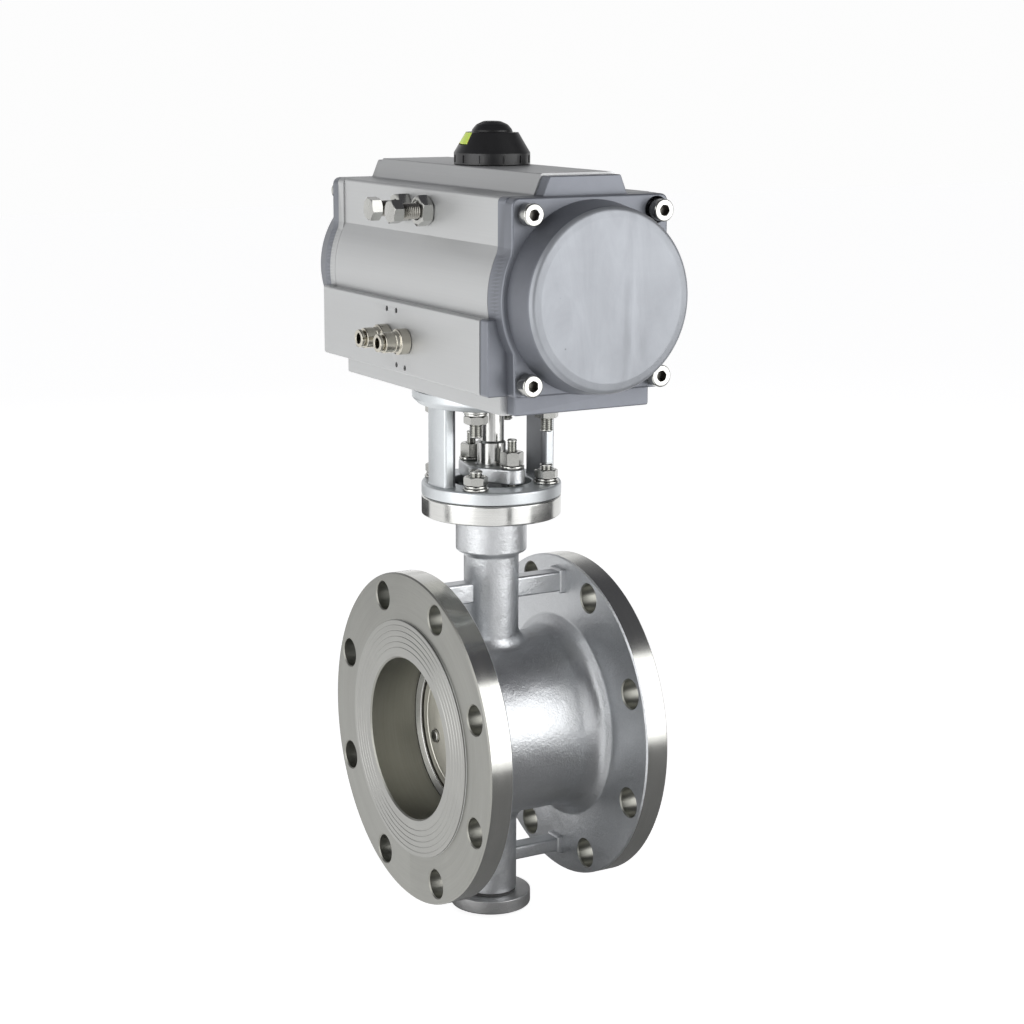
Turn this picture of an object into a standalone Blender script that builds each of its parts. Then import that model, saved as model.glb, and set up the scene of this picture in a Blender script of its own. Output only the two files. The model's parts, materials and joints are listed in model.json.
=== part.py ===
"""Pneumatic actuated valve: a DN 100 double-flanged butterfly valve with a rack-and-pinion actuator.

X runs along the pipe, Y along the actuator's cylinder and +Z up the stem. The origin is where the stem's
axis crosses the pipe's axis. Sizes are in metres, and the valve is closed.
"""

import math

import bmesh
import bpy
from mathutils import Matrix, Vector

GAP = 0.0003

# Valve body
FLANGE_R = 0.104
FLANGE_T = 0.0155
RAISED_R = 0.0745
RAISED_H = 0.0015
INLET_X = -0.060
OUTLET_X = 0.067
INLET_BORE_R = 0.0507
CAVITY_R = 0.052
SEAT_SHOULDER_X = -0.028
BARREL_R = 0.057
FLARE_R = 0.063
LINE_BOLTS = 8
LINE_BOLT_CIRCLE_R = 0.0911
LINE_BOLT_HOLE_R = 0.009
UPPER_NECK_R = 0.0172
LOWER_NECK_R = 0.0165
COLLAR_R = 0.0222
COLLAR_BOTTOM = 0.1125
TOP_FLANGE_R = 0.0434
TOP_FLANGE_BOTTOM = 0.138
TOP_FLANGE_TOP = 0.1504
LOWER_NECK_END = -0.1085
RIB_HALF_WIDTH = 0.006

# Stem, disc and seat
SHAFT_R = 0.009
SHAFT_TIP_R = 0.0078
SHAFT_STEP_Z = 0.1835
SHAFT_BOTTOM = -0.1035
SHAFT_TOP = 0.236
BUSH_SEAT_R = 0.0125
RIM_SPHERE_R = 0.0514
DISC_BACK_X = -0.012
DISC_SEAL_X = -0.018
RETAINER_X = -0.0205
DISC_FRONT_X = -0.0245
HUB_R = 0.0155
HUB_HALF_LENGTH = 0.042
PIN_R = 0.003
PIN_Z = 0.027
RETAINER_SCREWS = 4
RETAINER_SCREW_CIRCLE_R = 0.0305
RETAINER_SCREW_TURN = math.radians(-22.5)

# Packing and gland
STUFFING_R = 0.0145
PACKING_BOTTOM = 0.118
PACKING_TOP = 0.141
GLAND_PLATE_BOTTOM = 0.1597
GLAND_PLATE_TOP = 0.169
GLAND_STUD_CIRCLE_R = 0.0198
GLAND_TURN = math.radians(-80)
GLAND_STUD_R = 0.003
GLAND_EAR_R = 0.008
GLAND_HUB_R = 0.016

# Yoke between the valve and the actuator
YOKE_BOTTOM = TOP_FLANGE_TOP + GAP
YOKE_FLANGE_TOP = 0.1587
YOKE_PLATE_BOTTOM = 0.208
YOKE_TOP = 0.2167
YOKE_PLATE_R = 0.049
YOKE_HOLE_R = 0.025
YOKE_WALL_IN = 0.0304
YOKE_WALL_OUT = 0.0384
YOKE_WALL_HALF_WIDTH = 0.01125
F07_CIRCLE_R = 0.035
M8_R = 0.004

# Actuator
AXIS_Z = 0.283
BODY_BOTTOM = 0.217
BODY_TOP = 0.352
SHOULDER_Z = 0.340
BODY_HALF_WIDTH = 0.051
BULGE_R = 0.0585
PORT_FACE_X = -0.0635
PORT_FACE_TOP = 0.2725
PORT_FACE_BOTTOM = 0.2295
BODY_HALF_LENGTH = 0.0985
CYLINDER_R = 0.047
CAP_FLANGE_T = 0.008
CAP_PLATE_T = 0.008
DOME_R = 0.056
DOME_FACE_Y = 0.137
CAP_SCREW_X = 0.0427
CAP_SCREW_TOP = 0.331
CAP_SCREW_BOTTOM = 0.2365
STOP_Y = 0.014
STOP_Z = 0.327
STOP_R = 0.0047
STOP_TIP_X = -0.0163
PORT_Z = 0.250
PORT_Y = (-0.009, 0.016)

# Rack and pinion
MODULE = 0.002
TEETH = 18
PRESSURE_ANGLE = math.radians(20)
PITCH_R = MODULE * TEETH / 2
BACKLASH = 0.0004
PISTON_R = 0.0464
PISTON_INNER_Y = 0.056
PISTON_OUTER_Y = 0.070
RACK_END_Y = 0.038

# Indicator
INDICATOR_R = 0.023
INDICATOR_BAND_Z = 0.3592
INDICATOR_SHOULDER_R = 0.0158
INDICATOR_SHOULDER_Z = 0.3713
INDICATOR_TOP = 0.378
INSERT_Z = 0.3640
INDICATOR_TURN = 171
INSERT_HALF_ANGLE = 20

PARTS = bpy.data.collections.new("pneumatic_actuated_valve")
CUTTERS = bpy.data.collections.new("cutters")
ALONG = {"X": Matrix.Rotation(math.pi / 2, 4, "Y"), "Y": Matrix.Rotation(-math.pi / 2, 4, "X"), "Z": Matrix()}


def clear_scene():
    for obj in list(bpy.data.objects):
        bpy.data.objects.remove(obj, do_unlink=True)
    for collection in (PARTS, CUTTERS):
        bpy.context.scene.collection.children.link(collection)


def material(name, color, roughness, metallic):
    made = bpy.data.materials.get(name)
    if made is None:
        made = bpy.data.materials.new(name)
        made.use_nodes = True
        shader = made.node_tree.nodes["Principled BSDF"]
        shader.inputs["Base Color"].default_value = (*color, 1)
        shader.inputs["Roughness"].default_value = roughness
        shader.inputs["Metallic"].default_value = metallic
    return made


def cast_steel():
    return material("cast_stainless", (0.62, 0.62, 0.62), 0.45, 1)


def machined_steel():
    return material("machined_stainless", (0.72, 0.72, 0.70), 0.25, 1)


def yoke_steel():
    return material("yoke_casting", (0.75, 0.76, 0.77), 0.4, 1)


def body_aluminium():
    return material("grey_anodised_aluminium", (0.36, 0.36, 0.36), 0.45, 0.7)


def cap_aluminium():
    return material("blue_grey_cap", (0.13, 0.14, 0.16), 0.45, 0.5)


def nickel():
    return material("nickel_plate", (0.66, 0.62, 0.52), 0.2, 1)


def black_plastic():
    return material("black_plastic", (0.01, 0.01, 0.01), 0.4, 0)


def yellow_plastic():
    return material("yellow_plastic", (0.62, 0.78, 0.12), 0.5, 0)


def graphite():
    return material("graphite_packing", (0.05, 0.05, 0.05), 0.7, 0)


def bronze():
    return material("bronze_bush", (0.6, 0.42, 0.2), 0.35, 1)


def new_object(name, mesh, finish=None):
    """A part when it has a finish, and otherwise a cutter."""
    obj = bpy.data.objects.new(name, mesh)
    if finish:
        mesh.materials.append(finish)
        PARTS.objects.link(obj)
        return obj
    CUTTERS.objects.link(obj)
    obj.hide_render = True
    obj.display_type = "WIRE"
    return obj


def smooth(obj):
    obj.data.shade_smooth()
    obj.data.set_sharp_from_angle(angle=math.radians(35))


def turned(name, profile, finish=None, axis="Z", at=(0, 0, 0), steps=24):
    """A turned piece: profile is (radius, height) down the outer side, then up any bore."""
    mesh = bpy.data.meshes.new(name)
    points = [(radius, 0, height) for radius, height in profile]
    closed = min(radius for radius, _ in profile) > 0
    edges = [(i, i + 1) for i in range(len(points) - 1)]
    if closed:
        edges.append((len(points) - 1, 0))
    mesh.from_pydata(points, edges, [])
    obj = new_object(name, mesh, finish)
    screw = obj.modifiers.new("turn", "SCREW")
    screw.steps = steps
    screw.render_steps = steps
    screw.use_merge_vertices = True
    screw.merge_threshold = 0.00001
    screw.use_smooth_shade = False
    obj.matrix_world = Matrix.Translation(at) @ ALONG[axis]
    return obj


def rod(name, radius, low, high, finish=None, axis="Z", at=(0, 0, 0), steps=20):
    profile = [(0, high), (radius, high), (radius, low), (0, low)]
    return turned(name, profile, finish, axis, at, steps)


def ring(name, outer, inner, low, high, finish=None, axis="Z", at=(0, 0, 0), steps=24):
    profile = [(outer, high), (outer, low), (inner, low), (inner, high)]
    return turned(name, profile, finish, axis, at, steps)


def box(name, low, high, finish=None, turn=0.0):
    mesh = bpy.data.meshes.new(name)
    shape = bmesh.new()
    bmesh.ops.create_cube(shape, size=1)
    size = Vector(high) - Vector(low)
    bmesh.ops.scale(shape, vec=size, verts=shape.verts)
    shape.to_mesh(mesh)
    shape.free()
    obj = new_object(name, mesh, finish)
    middle = (Vector(high) + Vector(low)) / 2
    obj.matrix_world = Matrix.Rotation(turn, 4, "Z") @ Matrix.Translation(middle)
    return obj


def prism(name, outline, low, high, finish=None, axis="Z", at=(0, 0, 0)):
    """An outline of (x, y) points, counter-clockwise, carried from low to high along the axis."""
    mesh = bpy.data.meshes.new(name)
    shape = bmesh.new()
    corners = [shape.verts.new((x, y, low)) for x, y in outline]
    face = shape.faces.new(corners)
    raised = bmesh.ops.extrude_face_region(shape, geom=[face])
    moved = [item for item in raised["geom"] if isinstance(item, bmesh.types.BMVert)]
    bmesh.ops.translate(shape, vec=(0, 0, high - low), verts=moved)
    bmesh.ops.recalc_face_normals(shape, faces=shape.faces)
    shape.to_mesh(mesh)
    shape.free()
    obj = new_object(name, mesh, finish)
    obj.matrix_world = Matrix.Translation(at) @ ALONG[axis]
    return obj


def hexagon(width):
    """The outline of a hexagon of this width across its flats."""
    corner = width / math.sqrt(3)
    return [(corner * math.cos(math.pi / 3 * i), corner * math.sin(math.pi / 3 * i)) for i in range(6)]


def boolean(obj, other, operation):
    modifier = obj.modifiers.new(operation.lower() + "_" + other.name, "BOOLEAN")
    modifier.operation = operation
    modifier.object = other
    modifier.solver = "EXACT"


def cut(obj, *cutters):
    for cutter in cutters:
        boolean(obj, cutter, "DIFFERENCE")


def join(obj, *others):
    for other in others:
        boolean(obj, other, "UNION")


def around(count, radius, first=0.0):
    angles = [first + 2 * math.pi * i / count for i in range(count)]
    return [(radius * math.cos(angle), radius * math.sin(angle)) for angle in angles]


def arc(centre, radius, start, end, count):
    """Points on an arc, its angles in degrees."""
    angles = [math.radians(start + (end - start) * i / count) for i in range(count + 1)]
    return [(centre[0] + radius * math.cos(a), centre[1] + radius * math.sin(a)) for a in angles]


# ---------------------------------------------------------------- valve body


def valve_body():
    inner_in = INLET_X + RAISED_H + FLANGE_T
    inner_out = OUTLET_X - RAISED_H - FLANGE_T
    rib_start = inner_in - 0.001
    rib_end = inner_out + 0.001
    flare = FLARE_R - BARREL_R
    profile = [
        (0, OUTLET_X),
        (RAISED_R, OUTLET_X),
        (RAISED_R, OUTLET_X - RAISED_H),
        (FLANGE_R, OUTLET_X - RAISED_H),
        (FLANGE_R, inner_out),
        (FLARE_R, inner_out),
        (BARREL_R, inner_out - 1.3 * flare),
        (BARREL_R, inner_in + 1.3 * flare),
        (FLARE_R, inner_in),
        (FLANGE_R, inner_in),
        (FLANGE_R, INLET_X + RAISED_H),
        (RAISED_R, INLET_X + RAISED_H),
        (RAISED_R, INLET_X),
        (0, INLET_X),
    ]
    body = turned("valve_body", profile, cast_steel(), "X", steps=40)
    upper = [
        (0, TOP_FLANGE_TOP),
        (TOP_FLANGE_R, TOP_FLANGE_TOP),
        (TOP_FLANGE_R, TOP_FLANGE_BOTTOM),
        (COLLAR_R, TOP_FLANGE_BOTTOM),
        (COLLAR_R, COLLAR_BOTTOM),
        (UPPER_NECK_R, COLLAR_BOTTOM),
        (UPPER_NECK_R, 0.070),
        (UPPER_NECK_R + 0.004, 0.060),
        (UPPER_NECK_R + 0.012, 0.053),
        (0, 0.053),
    ]
    lower = [
        (0, -0.053),
        (LOWER_NECK_R + 0.010, -0.053),
        (LOWER_NECK_R + 0.003, -0.0600),
        (LOWER_NECK_R, -0.068),
        (LOWER_NECK_R, LOWER_NECK_END),
        (0, LOWER_NECK_END),
    ]
    join(
        body,
        turned("upper_neck", upper),
        turned("lower_neck", lower, steps=20),
        box("upper_rib", (rib_start, -RIB_HALF_WIDTH, 0.0825), (rib_end, RIB_HALF_WIDTH, 0.0955)),
        box("lower_rib", (rib_start, -RIB_HALF_WIDTH, -0.0925), (rib_end, RIB_HALF_WIDTH, -0.0835)),
    )
    past = 0.004
    bore = [
        (0, OUTLET_X + past),
        (CAVITY_R, OUTLET_X + past),
        (CAVITY_R, SEAT_SHOULDER_X),
        (INLET_BORE_R, SEAT_SHOULDER_X),
        (INLET_BORE_R, INLET_X - past),
        (0, INLET_X - past),
    ]
    stem_way = [
        (0, TOP_FLANGE_TOP + past),
        (STUFFING_R, TOP_FLANGE_TOP + past),
        (STUFFING_R, PACKING_BOTTOM - GAP),
        (SHAFT_R + 2 * GAP, PACKING_BOTTOM - GAP),
        (SHAFT_R + 2 * GAP, 0.092),
        (BUSH_SEAT_R, 0.092),
        (BUSH_SEAT_R, LOWER_NECK_END - past),
        (0, LOWER_NECK_END - past),
    ]
    cut(body, turned("bore", bore, axis="X", steps=40), turned("stem_way", stem_way))
    for side, x in (("inlet", INLET_X + FLANGE_T / 2), ("outlet", OUTLET_X - FLANGE_T / 2)):
        for i, (y, z) in enumerate(around(LINE_BOLTS, LINE_BOLT_CIRCLE_R, math.pi / LINE_BOLTS)):
            at = (0, y, z)
            cut(body, rod(f"{side}_hole_{i + 1}", LINE_BOLT_HOLE_R, x - 0.012, x + 0.012, None, "X", at, 12))
    for i, (x, y) in enumerate(gland_stud_places()):
        cut(body, rod(f"gland_tap_{i + 1}", GLAND_STUD_R + GAP, 0.1437, 0.155, None, "Z", (x, y, 0), 12))
    for i, (x, y) in enumerate(around(4, F07_CIRCLE_R, math.pi / 4)):
        cut(body, rod(f"flange_tap_{i + 1}", M8_R + GAP, 0.1407, 0.155, None, "Z", (x, y, 0), 12))
    return body


def seat_ring():
    outer = CAVITY_R - GAP
    start = SEAT_SHOULDER_X + GAP
    profile = [
        (outer, -0.016),
        (outer, start),
        (0.0504, start),
        (0.0460, -0.026),
        (0.0496, -0.016),
    ]
    turned("seat_ring", profile, machined_steel(), "X", steps=40)


def stem_bearings():
    outer = BUSH_SEAT_R - GAP
    ring("upper_bush", outer, SHAFT_R + GAP, 0.060, 0.0917, bronze())
    ring("lower_bush", outer, SHAFT_R + GAP, -0.0935, -0.060, bronze())


def bottom_cover():
    top = LOWER_NECK_END - 2 * GAP - 0.001
    profile = [
        (0, -0.1045),
        (0.0115, -0.1045),
        (0.0115, top),
        (0.0256, top),
        (0.0256, -0.1187),
        (0, -0.1187),
    ]
    turned("bottom_cover", profile, machined_steel(), steps=32)
    gasket_top = LOWER_NECK_END - GAP
    ring("bottom_gasket", 0.0160, 0.0120, gasket_top - 0.001, gasket_top, graphite())


def gland_stud_places():
    return around(2, GLAND_STUD_CIRCLE_R, GLAND_TURN)


def packing_and_gland():
    ring("packing", STUFFING_R - GAP, SHAFT_R + GAP, PACKING_BOTTOM, PACKING_TOP, graphite())
    sleeve = [
        (GLAND_HUB_R, GLAND_PLATE_TOP),
        (GLAND_HUB_R, GLAND_PLATE_BOTTOM),
        (STUFFING_R - GAP, GLAND_PLATE_BOTTOM),
        (STUFFING_R - GAP, PACKING_TOP + GAP),
        (SHAFT_R + GAP, PACKING_TOP + GAP),
        (SHAFT_R + GAP, GLAND_PLATE_TOP),
    ]
    follower = turned("gland_follower", sleeve, cast_steel())
    for i, (x, y) in enumerate(gland_stud_places()):
        at = (x, y, 0)
        ear = rod(f"gland_ear_{i + 1}", GLAND_EAR_R, GLAND_PLATE_BOTTOM, GLAND_PLATE_TOP, None, "Z", at, 16)
        join(follower, ear)
    reach = GLAND_STUD_CIRCLE_R
    for side in (-1, 1):
        low = (min(side * 0.0105, side * reach), -0.0068, GLAND_PLATE_BOTTOM)
        high = (max(side * 0.0105, side * reach), 0.0068, GLAND_PLATE_TOP)
        join(follower, box(f"gland_web_{side + 2}", low, high, None, GLAND_TURN))
    for i, (x, y) in enumerate(gland_stud_places()):
        at = (x, y, 0)
        hole = rod(f"gland_hole_{i + 1}", GLAND_STUD_R + 2 * GAP, 0.150, 0.175, None, "Z", at, 12)
        cut(follower, hole)
        rod(f"gland_stud_{i + 1}", GLAND_STUD_R, 0.144, 0.187, machined_steel(), "Z", at, 12)
        washer_top = GLAND_PLATE_TOP + GAP + 0.0016
        nut_bottom = washer_top - 0.0002
        nut = prism(f"gland_nut_{i + 1}", hexagon(0.0125), nut_bottom, 0.1795, machined_steel(), "Z", at)
        nut.rotation_euler.z = math.radians(12)
        washer = rod(f"gland_washer_{i + 1}", 0.0076, GLAND_PLATE_TOP + GAP, washer_top, None, "Z", at, 16)
        join(nut, washer)
        cut(nut, rod(f"gland_nut_bore_{i + 1}", GLAND_STUD_R + GAP, 0.165, 0.185, None, "Z", at, 12))


# ---------------------------------------------------------------- stem and disc


def stem():
    profile = [
        (0, SHAFT_TOP),
        (SHAFT_TIP_R, SHAFT_TOP),
        (SHAFT_TIP_R, SHAFT_STEP_Z),
        (SHAFT_R, SHAFT_STEP_Z),
        (SHAFT_R, SHAFT_BOTTOM),
        (0, SHAFT_BOTTOM),
    ]
    shaft = turned("stem", profile, machined_steel())
    for sign in (-1, 1):
        at = (0, 0, sign * PIN_Z)
        cut(shaft, rod(f"stem_pin_hole_{sign + 2}", PIN_R + GAP, -0.012, 0.012, None, "X", at, 12))


def rim(x):
    """The radius of the disc's rim, a sphere about the origin, at this x."""
    return math.sqrt(RIM_SPHERE_R**2 - x**2)


def disc_screw_places():
    return around(RETAINER_SCREWS, RETAINER_SCREW_CIRCLE_R, RETAINER_SCREW_TURN)


def valve_disc():
    middle = (DISC_BACK_X + DISC_SEAL_X) / 2
    back = 0.0460
    plate = [
        (0, DISC_BACK_X + 0.002),
        (back, DISC_BACK_X),
        (rim(DISC_BACK_X), DISC_BACK_X),
        (rim(middle), middle),
        (rim(DISC_SEAL_X), DISC_SEAL_X),
        (0, DISC_SEAL_X),
    ]
    disc = turned("disc", plate, cast_steel(), "X", steps=40)
    hub = rod("hub", HUB_R, -HUB_HALF_LENGTH, HUB_HALF_LENGTH, None, "Z", (0, 0, 0), 24)
    join(disc, hub)
    hub_bore = rod("hub_bore", SHAFT_R + GAP, -0.06, 0.06, None, "Z", (0, 0, 0), 24)
    hub_bore.rotation_euler.z = math.pi / 24
    cut(disc, hub_bore)
    for sign in (-1, 1):
        at = (0, 0, sign * PIN_Z)
        cut(disc, rod(f"hub_pin_hole_{sign + 2}", PIN_R + GAP, -0.0118, 0.020, None, "X", at, 12))
        name = "lower" if sign < 0 else "upper"
        rod(f"{name}_disc_pin", PIN_R, -0.0113, 0.0148, machined_steel(), "X", at, 12)
    seal = DISC_SEAL_X - GAP
    retainer = RETAINER_X - GAP
    seal_profile = [(rim(seal), seal), (rim(RETAINER_X), RETAINER_X), (0.036, RETAINER_X), (0.036, seal)]
    turned("disc_seal_ring", seal_profile, graphite(), "X", steps=40)
    retainer_profile = [
        (0, retainer),
        (rim(retainer), retainer),
        (rim(DISC_FRONT_X), DISC_FRONT_X),
        (0, DISC_FRONT_X),
    ]
    plate = turned("seal_retainer", retainer_profile, machined_steel(), "X", steps=40)
    for i, (y, z) in enumerate(disc_screw_places()):
        at = (0, y, z)
        cut(plate, rod(f"retainer_hole_{i + 1}", 0.0026 + GAP, -0.030, -0.015, None, "X", at, 12))
        cut(plate, rod(f"retainer_sink_{i + 1}", 0.0045, -0.030, DISC_FRONT_X + 0.0020, None, "X", at, 14))
        cut(disc, rod(f"disc_tap_{i + 1}", 0.0026 + GAP, -0.030, -0.0140, None, "X", at, 12))
        head = DISC_FRONT_X + 0.0020 - GAP
        screw_profile = [
            (0, -0.0145),
            (0.0026, -0.0145),
            (0.0026, head),
            (0.0042, head),
            (0.0042, head - 0.0030),
            (0.0038, head - 0.0034),
            (0, head - 0.0034),
        ]
        screw = turned(f"retainer_screw_{i + 1}", screw_profile, machined_steel(), "X", at, 14)
        cut(screw, prism(f"retainer_socket_{i + 1}", hexagon(0.0040), -0.030, head - 0.0015, None, "X", at))


# ---------------------------------------------------------------- yoke


def yoke():
    profile = [
        (TOP_FLANGE_R, YOKE_FLANGE_TOP),
        (TOP_FLANGE_R, YOKE_BOTTOM),
        (YOKE_HOLE_R, YOKE_BOTTOM),
        (YOKE_HOLE_R, YOKE_FLANGE_TOP),
    ]
    frame = turned("yoke", profile, yoke_steel(), steps=28)
    top = [
        (YOKE_PLATE_R, YOKE_TOP),
        (YOKE_PLATE_R, YOKE_PLATE_BOTTOM + 0.003),
        (YOKE_PLATE_R - 0.003, YOKE_PLATE_BOTTOM),
        (0.020, YOKE_PLATE_BOTTOM),
        (0.020, YOKE_TOP),
    ]
    join(frame, turned("yoke_plate", top, steps=28))
    for side in (-1, 1):
        reach = math.degrees(math.asin(YOKE_WALL_HALF_WIDTH / 0.040))
        outline = [(YOKE_WALL_IN, -YOKE_WALL_HALF_WIDTH)]
        outline += arc((0, 0), 0.040, -reach, reach, 6)
        outline += [(YOKE_WALL_IN, YOKE_WALL_HALF_WIDTH)]
        wall = prism(f"yoke_wall_{side + 2}", outline, YOKE_FLANGE_TOP - 0.001, YOKE_PLATE_BOTTOM + 0.001)
        if side < 0:
            wall.rotation_euler.z = math.pi
        join(frame, wall)
    for i, (x, y) in enumerate(around(4, F07_CIRCLE_R, math.pi / 4)):
        hole = rod(f"yoke_hole_{i + 1}", M8_R + 2 * GAP, 0.145, 0.225, None, "Z", (x, y, 0), 12)
        cut(frame, hole)


def stud_with_nut(name, at, stud, nut, washer):
    """A stud from low to high with its nut and washer run down on it, as one solid."""
    bolt = rod(name, M8_R, stud[0], stud[1], machined_steel(), "Z", at, 10)
    hexed = prism(f"{name}_hex", hexagon(0.013), nut[0], nut[1], None, "Z", at)
    join(bolt, hexed, rod(f"{name}_washer", 0.0080, washer[0], washer[1], None, "Z", at, 12))


def yoke_bolts():
    for i, (x, y) in enumerate(around(4, F07_CIRCLE_R, math.pi / 4)):
        seat = YOKE_FLANGE_TOP + GAP
        washer = (seat, seat + 0.0015)
        stud_with_nut(f"valve_stud_{i + 1}", (x, y, 0), (0.1411, 0.171), (seat + 0.0014, 0.1675), washer)
        seat = YOKE_PLATE_BOTTOM - GAP
        washer = (seat - 0.0015, seat)
        stud_with_nut(f"actuator_stud_{i + 1}", (x, y, 0), (0.191, 0.2275), (0.1995, seat - 0.0014), washer)


# ---------------------------------------------------------------- actuator


def body_outline():
    """The extrusion's outline in (x, z), counter-clockwise, with the port pad on the -X side."""
    fold = 0.309
    start = math.degrees(math.asin((fold - AXIS_Z) / BULGE_R))
    low = math.degrees(math.asin((AXIS_Z - 0.238) / BULGE_R))
    right = arc((0, AXIS_Z), BULGE_R, -low, start, 10)
    left = arc((0, AXIS_Z), BULGE_R, 180 - start, 180 + 10.3, 6)
    return [
        (-0.050, BODY_BOTTOM),
        (0.046, BODY_BOTTOM),
        (0.046, 0.232),
        *right,
        (BODY_HALF_WIDTH, 0.3125),
        (BODY_HALF_WIDTH, SHOULDER_Z - 0.0015),
        (BODY_HALF_WIDTH - 0.0015, SHOULDER_Z),
        (0.029, SHOULDER_Z),
        (0.024, BODY_TOP),
        (-0.024, BODY_TOP),
        (-0.029, SHOULDER_Z),
        (-BODY_HALF_WIDTH + 0.0015, SHOULDER_Z),
        (-BODY_HALF_WIDTH, SHOULDER_Z - 0.0015),
        (-BODY_HALF_WIDTH, 0.3125),
        *left,
        (PORT_FACE_X + 0.001, PORT_FACE_TOP),
        (PORT_FACE_X, PORT_FACE_TOP - 0.001),
        (PORT_FACE_X, PORT_FACE_BOTTOM + 0.002),
        (PORT_FACE_X + 0.002, PORT_FACE_BOTTOM),
        (-0.050, PORT_FACE_BOTTOM),
    ]


def upright(outline):
    """The outline for a prism along Y: its local y runs down the part's Z."""
    return [(x, -z) for x, z in reversed(outline)]


def actuator_body():
    length = BODY_HALF_LENGTH
    body = prism("actuator_body", upright(body_outline()), -length, length, body_aluminium(), "Y")
    cut(body, rod("cylinder_bore", CYLINDER_R, -0.12, 0.12, None, "Y", (0, 0, AXIS_Z), 40))
    cut(body, rod("cam_pocket", 0.0275, 0.300, 0.3335, None, "Z", (0, 0, 0), 28))
    cut(body, rod("top_journal", 0.0165, 0.330, 0.360, None, "Z", (0, 0, 0), 24))
    cut(body, rod("bottom_journal", 0.0185, 0.200, 0.245, None, "Z", (0, 0, 0), 24))
    for i, y in enumerate((-STOP_Y, STOP_Y)):
        cut(body, rod(f"stop_hole_{i + 1}", STOP_R + GAP, -0.060, -0.015, None, "X", (0, y, STOP_Z), 12))
    for i, y in enumerate(PORT_Y):
        cut(body, rod(f"port_hole_{i + 1}", 0.0055, -0.070, -0.050, None, "X", (0, y, PORT_Z), 16))
        cut(body, rod(f"port_way_{i + 1}", 0.0020, -0.055, -0.020, None, "X", (0, y, PORT_Z), 10))
    for i, (x, y) in enumerate(around(4, F07_CIRCLE_R, math.pi / 4)):
        cut(body, rod(f"mount_tap_{i + 1}", M8_R + GAP, 0.210, 0.228, None, "Z", (x, y, 0), 12))
    for side in (-1, 1):
        for i, (x, z) in enumerate(cap_screw_places()):
            ends = sorted((side * 0.080, side * 0.110))
            cut(body, rod(f"cap_tap_{side + 2}_{i}", 0.0034, ends[0], ends[1], None, "Y", (x, 0, z), 10))


def cap_screw_places():
    return [(x, z) for z in (CAP_SCREW_TOP, CAP_SCREW_BOTTOM) for x in (-CAP_SCREW_X, CAP_SCREW_X)]


def cap_plate_outline():
    """The raised plate that carries the four cap screws, in (x, z)."""
    left = arc((0, AXIS_Z), BULGE_R, 180 - 26, 180 + 30, 8)
    right = arc((0, AXIS_Z), BULGE_R, -32, 26, 8)
    return [
        (-0.0500, 0.2290),
        (0.0450, 0.2290),
        (0.0490, 0.2330),
        *right,
        (0.0505, 0.3125),
        (0.0505, 0.3370),
        (0.0475, 0.3400),
        (-0.0490, 0.3400),
        (-0.0520, 0.3370),
        (-0.0520, 0.3125),
        *left,
    ]


def cap_flange_outline():
    """The flange that seats on the extrusion: the plate with the top pad, the port-side ear and the foot."""
    left = arc((0, AXIS_Z), BULGE_R, 180 - 26, 180 + 10, 6)
    right = arc((0, AXIS_Z), BULGE_R, -32, 26, 8)
    return [
        (-0.0455, 0.2175),
        (0.0445, 0.2175),
        (0.0445, 0.2290),
        (0.0490, 0.2330),
        *right,
        (0.0505, 0.3125),
        (0.0505, 0.3370),
        (0.0475, 0.3400),
        (0.0280, 0.3400),
        (0.0235, 0.3508),
        (-0.0235, 0.3508),
        (-0.0280, 0.3400),
        (-0.0490, 0.3400),
        (-0.0520, 0.3370),
        (-0.0520, 0.3125),
        *left,
        (-0.0630, 0.2727),
        (-0.0630, 0.2293),
        (-0.0455, 0.2293),
    ]


def end_cap(name, side):
    """One end cap, hollow towards the cylinder. side is -1 at the front and 1 at the rear."""
    seat = BODY_HALF_LENGTH + GAP
    plate = seat + CAP_FLANGE_T
    front = plate + CAP_PLATE_T
    near, far = sorted((side * seat, side * plate))
    cap = prism(name, upright(cap_flange_outline()), near, far, cap_aluminium(), "Y")
    near, far = sorted((side * (plate - 0.001), side * front))
    raised = prism(f"{name}_plate", upright(cap_plate_outline()), near, far, None, "Y")
    face = DOME_FACE_Y
    profile = [
        (0, face),
        (0.0480, face - 0.0006),
        (0.0510, face - 0.0022),
        (0.0524, face - 0.0050),
        (DOME_R, plate),
        (DOME_R, seat + 0.001),
        (0, seat + 0.001),
    ]
    hollow = [
        (0, face - 0.006),
        (0.0440, face - 0.006),
        (CYLINDER_R, face - 0.010),
        (CYLINDER_R, seat - 0.010),
        (0, seat - 0.010),
    ]
    dome = turned(f"{name}_dome", mirrored(profile, side), None, "Y", (0, 0, AXIS_Z), 40)
    inside = turned(f"{name}_hollow", mirrored(hollow, side), None, "Y", (0, 0, AXIS_Z), 32)
    join(cap, raised, dome)
    cut(cap, inside)
    for i, (x, z) in enumerate(cap_screw_places()):
        at = (x, 0, z)
        ends = sorted((side * 0.090, side * 0.150))
        cut(cap, rod(f"{name}_hole_{i + 1}", 0.0042, ends[0], ends[1], None, "Y", at, 10))
        ends = sorted((side * (front - 0.0002), side * 0.150))
        cut(cap, rod(f"{name}_pocket_{i + 1}", 0.0078, ends[0], ends[1], None, "Y", at, 14))
        cap_screw(f"{name}_screw_{i + 1}", side, at, front + GAP)


def mirrored(profile, side):
    """A profile for the other end: its heights change sign, and so it runs the other way."""
    if side > 0:
        return profile
    return [(radius, -height) for radius, height in reversed(profile)]


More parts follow.
